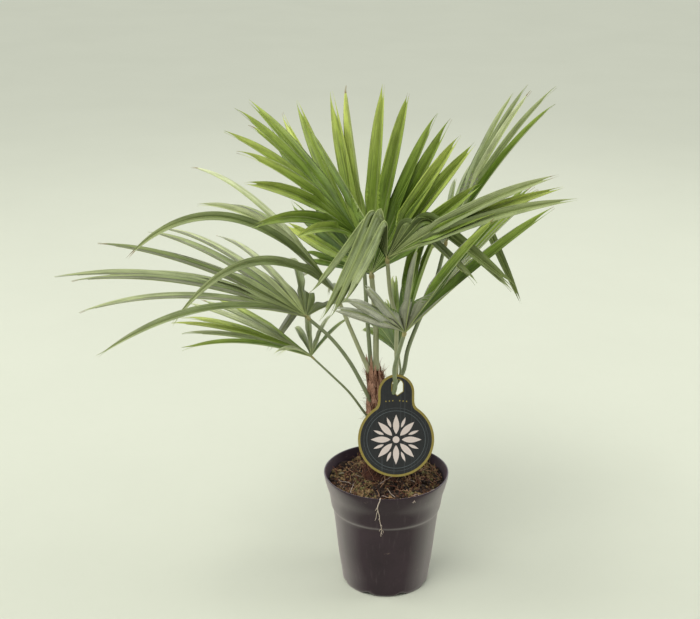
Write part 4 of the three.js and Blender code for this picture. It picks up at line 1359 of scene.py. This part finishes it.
def grow_stalks(taken):
    """Gives each frond its stalk's curve and its knob, and marks the stalks as taken."""
    for frond in FRONDS.values():
        curve = SoftCurve([*frond["stalk"], frond["hub"]])
        frond["curve"] = curve
        frond["knob_way"] = curve.end_way()
        frond["knob"] = np.array(frond["hub"]) + frond["knob_way"] * GAP
        steps = math.ceil(curve.length / LIMB_STEP)
        places = [curve.along(k / steps) for k in range(steps + 1)]
        taken.add(limb_points(places, [max(frond["stalk_radius"])] * (steps + 1)))


def grow_fronds():
    """Grows all fronds in turn. A leaflet that would touch is turned or lifted a little."""
    taken = TakenSpace()
    grow_stalks(taken)
    trunk = TRUNK_TOP - TRUNK_FOOT
    steps = math.ceil(np.linalg.norm(trunk) / LIMB_STEP)
    shares = np.arange(steps + 1) / steps
    taken.add(limb_points(TRUNK_FOOT + trunk * shares[:, None], [trunk_radius(share) for share in shares]))
    taken.add(tag_points())
    for frond in FRONDS.values():
        frond["leaflets"] = []
        for leaf in leaflets_of(frond):
            for dodge in DODGES:
                path = leaflet_path(frond, leaf, dodge)
                points = blade_points(leaf, path, OWN_STALK)
                if over_pot(points) or taken.meets(points):
                    continue
                leaf.place(path, leaf.turn + dodge[0])
                frond["leaflets"].append(leaf)
                break
        for leaf in frond["leaflets"]:
            taken.add(blade_points(leaf, list(zip(leaf.points, leaf.sides, leaf.ups)), 0))


# ---------------------------------------------------------------- fronds: blades

BLADE_THICKNESS = 0.35
BLADE_FOLD = 0.4  # how far a free blade's edges rise over its rib, as a share of its width
WEB_RISE = 0.5  # how steeply the pleats rise between joined leaflets
WEB_VARIES = (0.75, 1.15)  # two leaflets part between these shares of SPLIT
WEB_ROOM = 0.65  # a joined edge is at most this share of the leaflet's width away from its rib
SINUS = 34  # length over which two leaflets part at their split
WIDEST_JOIN = 25  # leaflets further apart than this, in degrees, aren't joined
# Where a blade has its rows of points, as shares of its length: closer together at the tip.
STATIONS = np.concatenate([np.linspace(0, 20.5, 34), np.linspace(20.9, 24, 14)]) / PATH_STEPS
FINE_PARTS = 8
RIB_HALF = 0.42
RIB_TOP = 0.28
RIB_KEEL = 0.85
RIB_TAPER = 0.7  # share of its size that the rib loses by the tip
MARGIN_SHARE = 0.94  # where the thin margin starts, from the rib to the edge
MARGIN_RISE = 0.05
MIDDLE_RISE = 0.1  # how far a half's middle rises, as a share of its width
NOTCH = (12, 36)  # depth of the notch in a leaflet's tip
# How far a half's own point spreads sideways and curls, and by how much some halves end short.
TIP_SPREAD, TIP_CURL, TIP_SHORT = (0.2, 1.8), (-1.5, 1.5), (3, 14)
DRY_FROM = (2, 2, 2, 0.985, 0.965)  # share of the length from which a tip is dry; 2 is nowhere
FOLD_DULL = 1.5  # how many tones darker a folded leaflet is
TONE_VARIES = 0.9  # most tones by which a half differs from its leaflet
# On a leaflet's other half, the points of a ring and the strips between them come in these orders.
POINTS_MIRRORED = (3, 2, 1, 0, 5, 4)
STRIPS_MIRRORED = (2, 1, 0, 5, 4, 3)
STALK_STEPS = 39
FOOT_SWELL, FOOT_SHARE = 0.9, 9  # a stalk's foot is so much thicker over one ninth of its length
# The tongue where a stalk meets its blade: how far it reaches back, and its thickness, as a share of
# the stalk's, at each millimetre.
TONGUE_BACK = 2
TONGUE = (1, 1.05, 1.1, 1.15, 1.15, 1.05, 0.9, 0.7, 0.5, 0.3, 0.1)


def ease(t):
    t = np.clip(t, 0, 1)
    return t * t * (3 - 2 * t)


def fine_path(leaf):
    """The leaflet's rib, side and upper directions at the fine stations."""
    line = smooth_line(leaf.points, FINE_PARTS)
    rib = read_at(STATIONS, np.linspace(0, 1, len(line)), line)
    side = unit(read_at(STATIONS, np.linspace(0, 1, PATH_STEPS + 1), leaf.sides))
    along = unit(np.gradient(rib, axis=0))
    side = unit(side - along * np.sum(side * along, -1, keepdims=True))
    return rib, side, np.cross(along, side)


def join_leaflets(leaves, frond, rng):
    """Tells neighbouring leaflets how far from the hub they are joined, under 1 or -1 by the side."""
    for left, right in zip(leaves, leaves[1:]):
        apart = right.turned - left.turned
        room = WEB_ROOM * left.width / math.sin(math.radians(max(apart, 4)) / 2)
        split = min(SPLIT * rng.uniform(*WEB_VARIES), room) * frond["web"]
        if apart < WIDEST_JOIN:
            left.joined[1] = (right, split)
            right.joined[-1] = (left, split)


def edge_line(leaf, way, rib, side, up, half):
    """One edge of a leaflet: shared with its neighbour as far as the split, and free from there on."""
    own = rib + way * side * half + up * half * 2 * BLADE_FOLD
    if way not in leaf.joined:
        return own
    neighbour, split = leaf.joined[way]
    distance = STATIONS * leaf.length
    other, other_up = neighbour.at(distance)
    gap = np.linalg.norm(other - rib, axis=-1, keepdims=True) / 2
    shared = (rib + other) / 2 + unit(up + other_up) * gap * WEB_RISE
    free = ease((distance - split) / SINUS)[:, None]
    return shared * (1 - free) + own * free


def blade_map(across, number, stations):
    """The blade map of rings of points: the leaflet's number with the place across, and the station."""
    return np.stack([np.tile(across, (len(stations), 1)) + number,
                     np.tile(stations[:, None], (1, len(across)))], -1)


def add_half(fan, leaf, way, path, edge, tip):
    """One half of a leaflet from its rib to its edge. Past the notch it narrows to its own point."""
    rib, side, up = path
    distance = STATIONS * leaf.length
    open_share = np.clip((distance - (leaf.length - tip["notch"])) / tip["notch"], 0, 1)[:, None]
    outer = edge + way * side * tip["spread"] * open_share ** 1.6 + up * tip["curl"] * open_share ** 2
    inner = rib + (outer - rib) * open_share ** 1.15
    if tip["short"]:
        keep = ease((leaf.length - distance) / (tip["short"] + 0.01))[:, None]
        outer = inner + (outer - inner) * keep
    rise = up * MIDDLE_RISE * np.linalg.norm(outer - inner, axis=-1, keepdims=True)
    middle = (inner + outer) / 2 + rise
    margin = inner + (outer - inner) * MARGIN_SHARE + up * MARGIN_RISE
    under = up * BLADE_THICKNESS
    ring = [outer, margin, middle, inner, inner - under, middle - under]
    dry = STATIONS[1:] > tip["dry_from"]
    upper, lower = (np.where(dry, "dry", tip[side_name]) for side_name in ("top", "under"))
    strips = [upper, upper, upper, upper, lower, lower]
    across = [0.5 + 0.45 * half * way for half in (1, MARGIN_SHARE, 0.5, 0, 0, 0.5)]
    if way < 0:
        ring, across = ([row[k] for k in POINTS_MIRRORED] for row in (ring, across))
        strips = [strips[k] for k in STRIPS_MIRRORED]
    fan.add_rings(np.stack(ring, 1), list(zip(*strips)), blade_map(across, tip["number"], STATIONS))


def add_rib(fan, leaf, path, tip):
    """The pale rib, which keels under the blade and ends in the notch."""
    last = np.searchsorted(STATIONS * leaf.length, leaf.length - tip["notch"] * 0.8)
    keep = slice(0, max(last, 6))
    thin = (1 - RIB_TAPER * STATIONS[keep])[:, None]
    rib, side, up = (rows[keep] for rows in path)
    ring = [rib + side * RIB_HALF * thin, rib + up * RIB_TOP * thin, rib - side * RIB_HALF * thin,
            rib - up * (RIB_KEEL * thin + BLADE_THICKNESS)]
    maps = blade_map([0.9, 0.8, 0.7, 0.8], tip["number"], STATIONS[keep])
    fan.add_rings(np.stack(ring, 1), "rib", maps)


def make_fan(name, frond):
    """One frond's blade, which replaces its solid."""
    rng = random.Random(100 + frond["seed"])
    fan = Bundle()
    leaves = sorted(frond["leaflets"], key=lambda leaf: leaf.turned)
    join_leaflets(leaves, frond, rng)
    for k, leaf in enumerate(leaves):
        path = fine_path(leaf)
        half = leaf.half_width(STATIONS * leaf.length)[:, None] * frond["slim"]
        tip = dict(notch=rng.uniform(*NOTCH), number=7 * k + frond["seed"], dry_from=rng.choice(DRY_FROM))
        shade = rng.random()
        dull = FOLD_DULL if leaf.fold else 0
        still_green = rng.random() < frond["green"] and not leaf.fold
        for way in (-1, 1):
            tip.update(spread=rng.uniform(*TIP_SPREAD), curl=rng.uniform(*TIP_CURL),
                       short=rng.choice((0, 0, rng.uniform(*TIP_SHORT))))
            for side_name in ("top", "under"):
                family, low, high = frond[side_name]
                if family == "olive" and still_green:
                    family = "green"
                tone = round(low + (high - low) * shade - dull + sway(rng, TONE_VARIES))
                tip[side_name] = f"{family}_{min(max(tone, 0), TONES - 1)}"
            add_half(fan, leaf, way, path, edge_line(leaf, way, *path, half), tip)
        add_rib(fan, leaf, path, tip)
    seat(fan.piece(f"fan_{name}", map_name="blade"), "frond", f"frond_{name}")


def make_stalk(name, frond):
    """A leaf stalk, swollen at its foot, with the small tongue at its end."""
    bundle = Bundle()
    shares = np.linspace(0, 1, STALK_STEPS + 1)
    line = np.array([frond["curve"].along(share) for share in shares])
    foot, end = frond["stalk_radius"]
    radii = foot + (end - foot) * shares + FOOT_SWELL * np.maximum(0, 1 - shares * FOOT_SHARE)
    bundle.add_rings(tube_rings(line, radii, 14), frond["stalk_finish"])
    back = frond["knob"] - frond["knob_way"] * TONGUE_BACK
    tongue = np.array([back + frond["knob_way"] * t for t in range(len(TONGUE))])
    bundle.add_rings(tube_rings(tongue, end * np.array(TONGUE), 12), "stalk_hub")
    seat(bundle.piece(f"leafstalk_{name}"), "stalk", f"stalk_{name}")


# ---------------------------------------------------------------- all together

def make_floor():
    bm = bmesh.new()
    bmesh.ops.create_grid(bm, x_segments=2, y_segments=2, size=FLOOR_SIZE / 2)
    from_bmesh("floor", bm, ["floor_paint"], smooth=False)


place_camera()
light_the_studio()
make_floor()
make_pot()
make_soil_bed()
make_soil_litter()
make_soil_fibres()
make_hanging_roots()
make_trunk()
make_trunk_fibres()
make_torn_sheaths()
make_tag()
grow_fronds()
for frond_name, frond_data in FRONDS.items():
    make_stalk(frond_name, frond_data)
    make_fan(frond_name, frond_data)
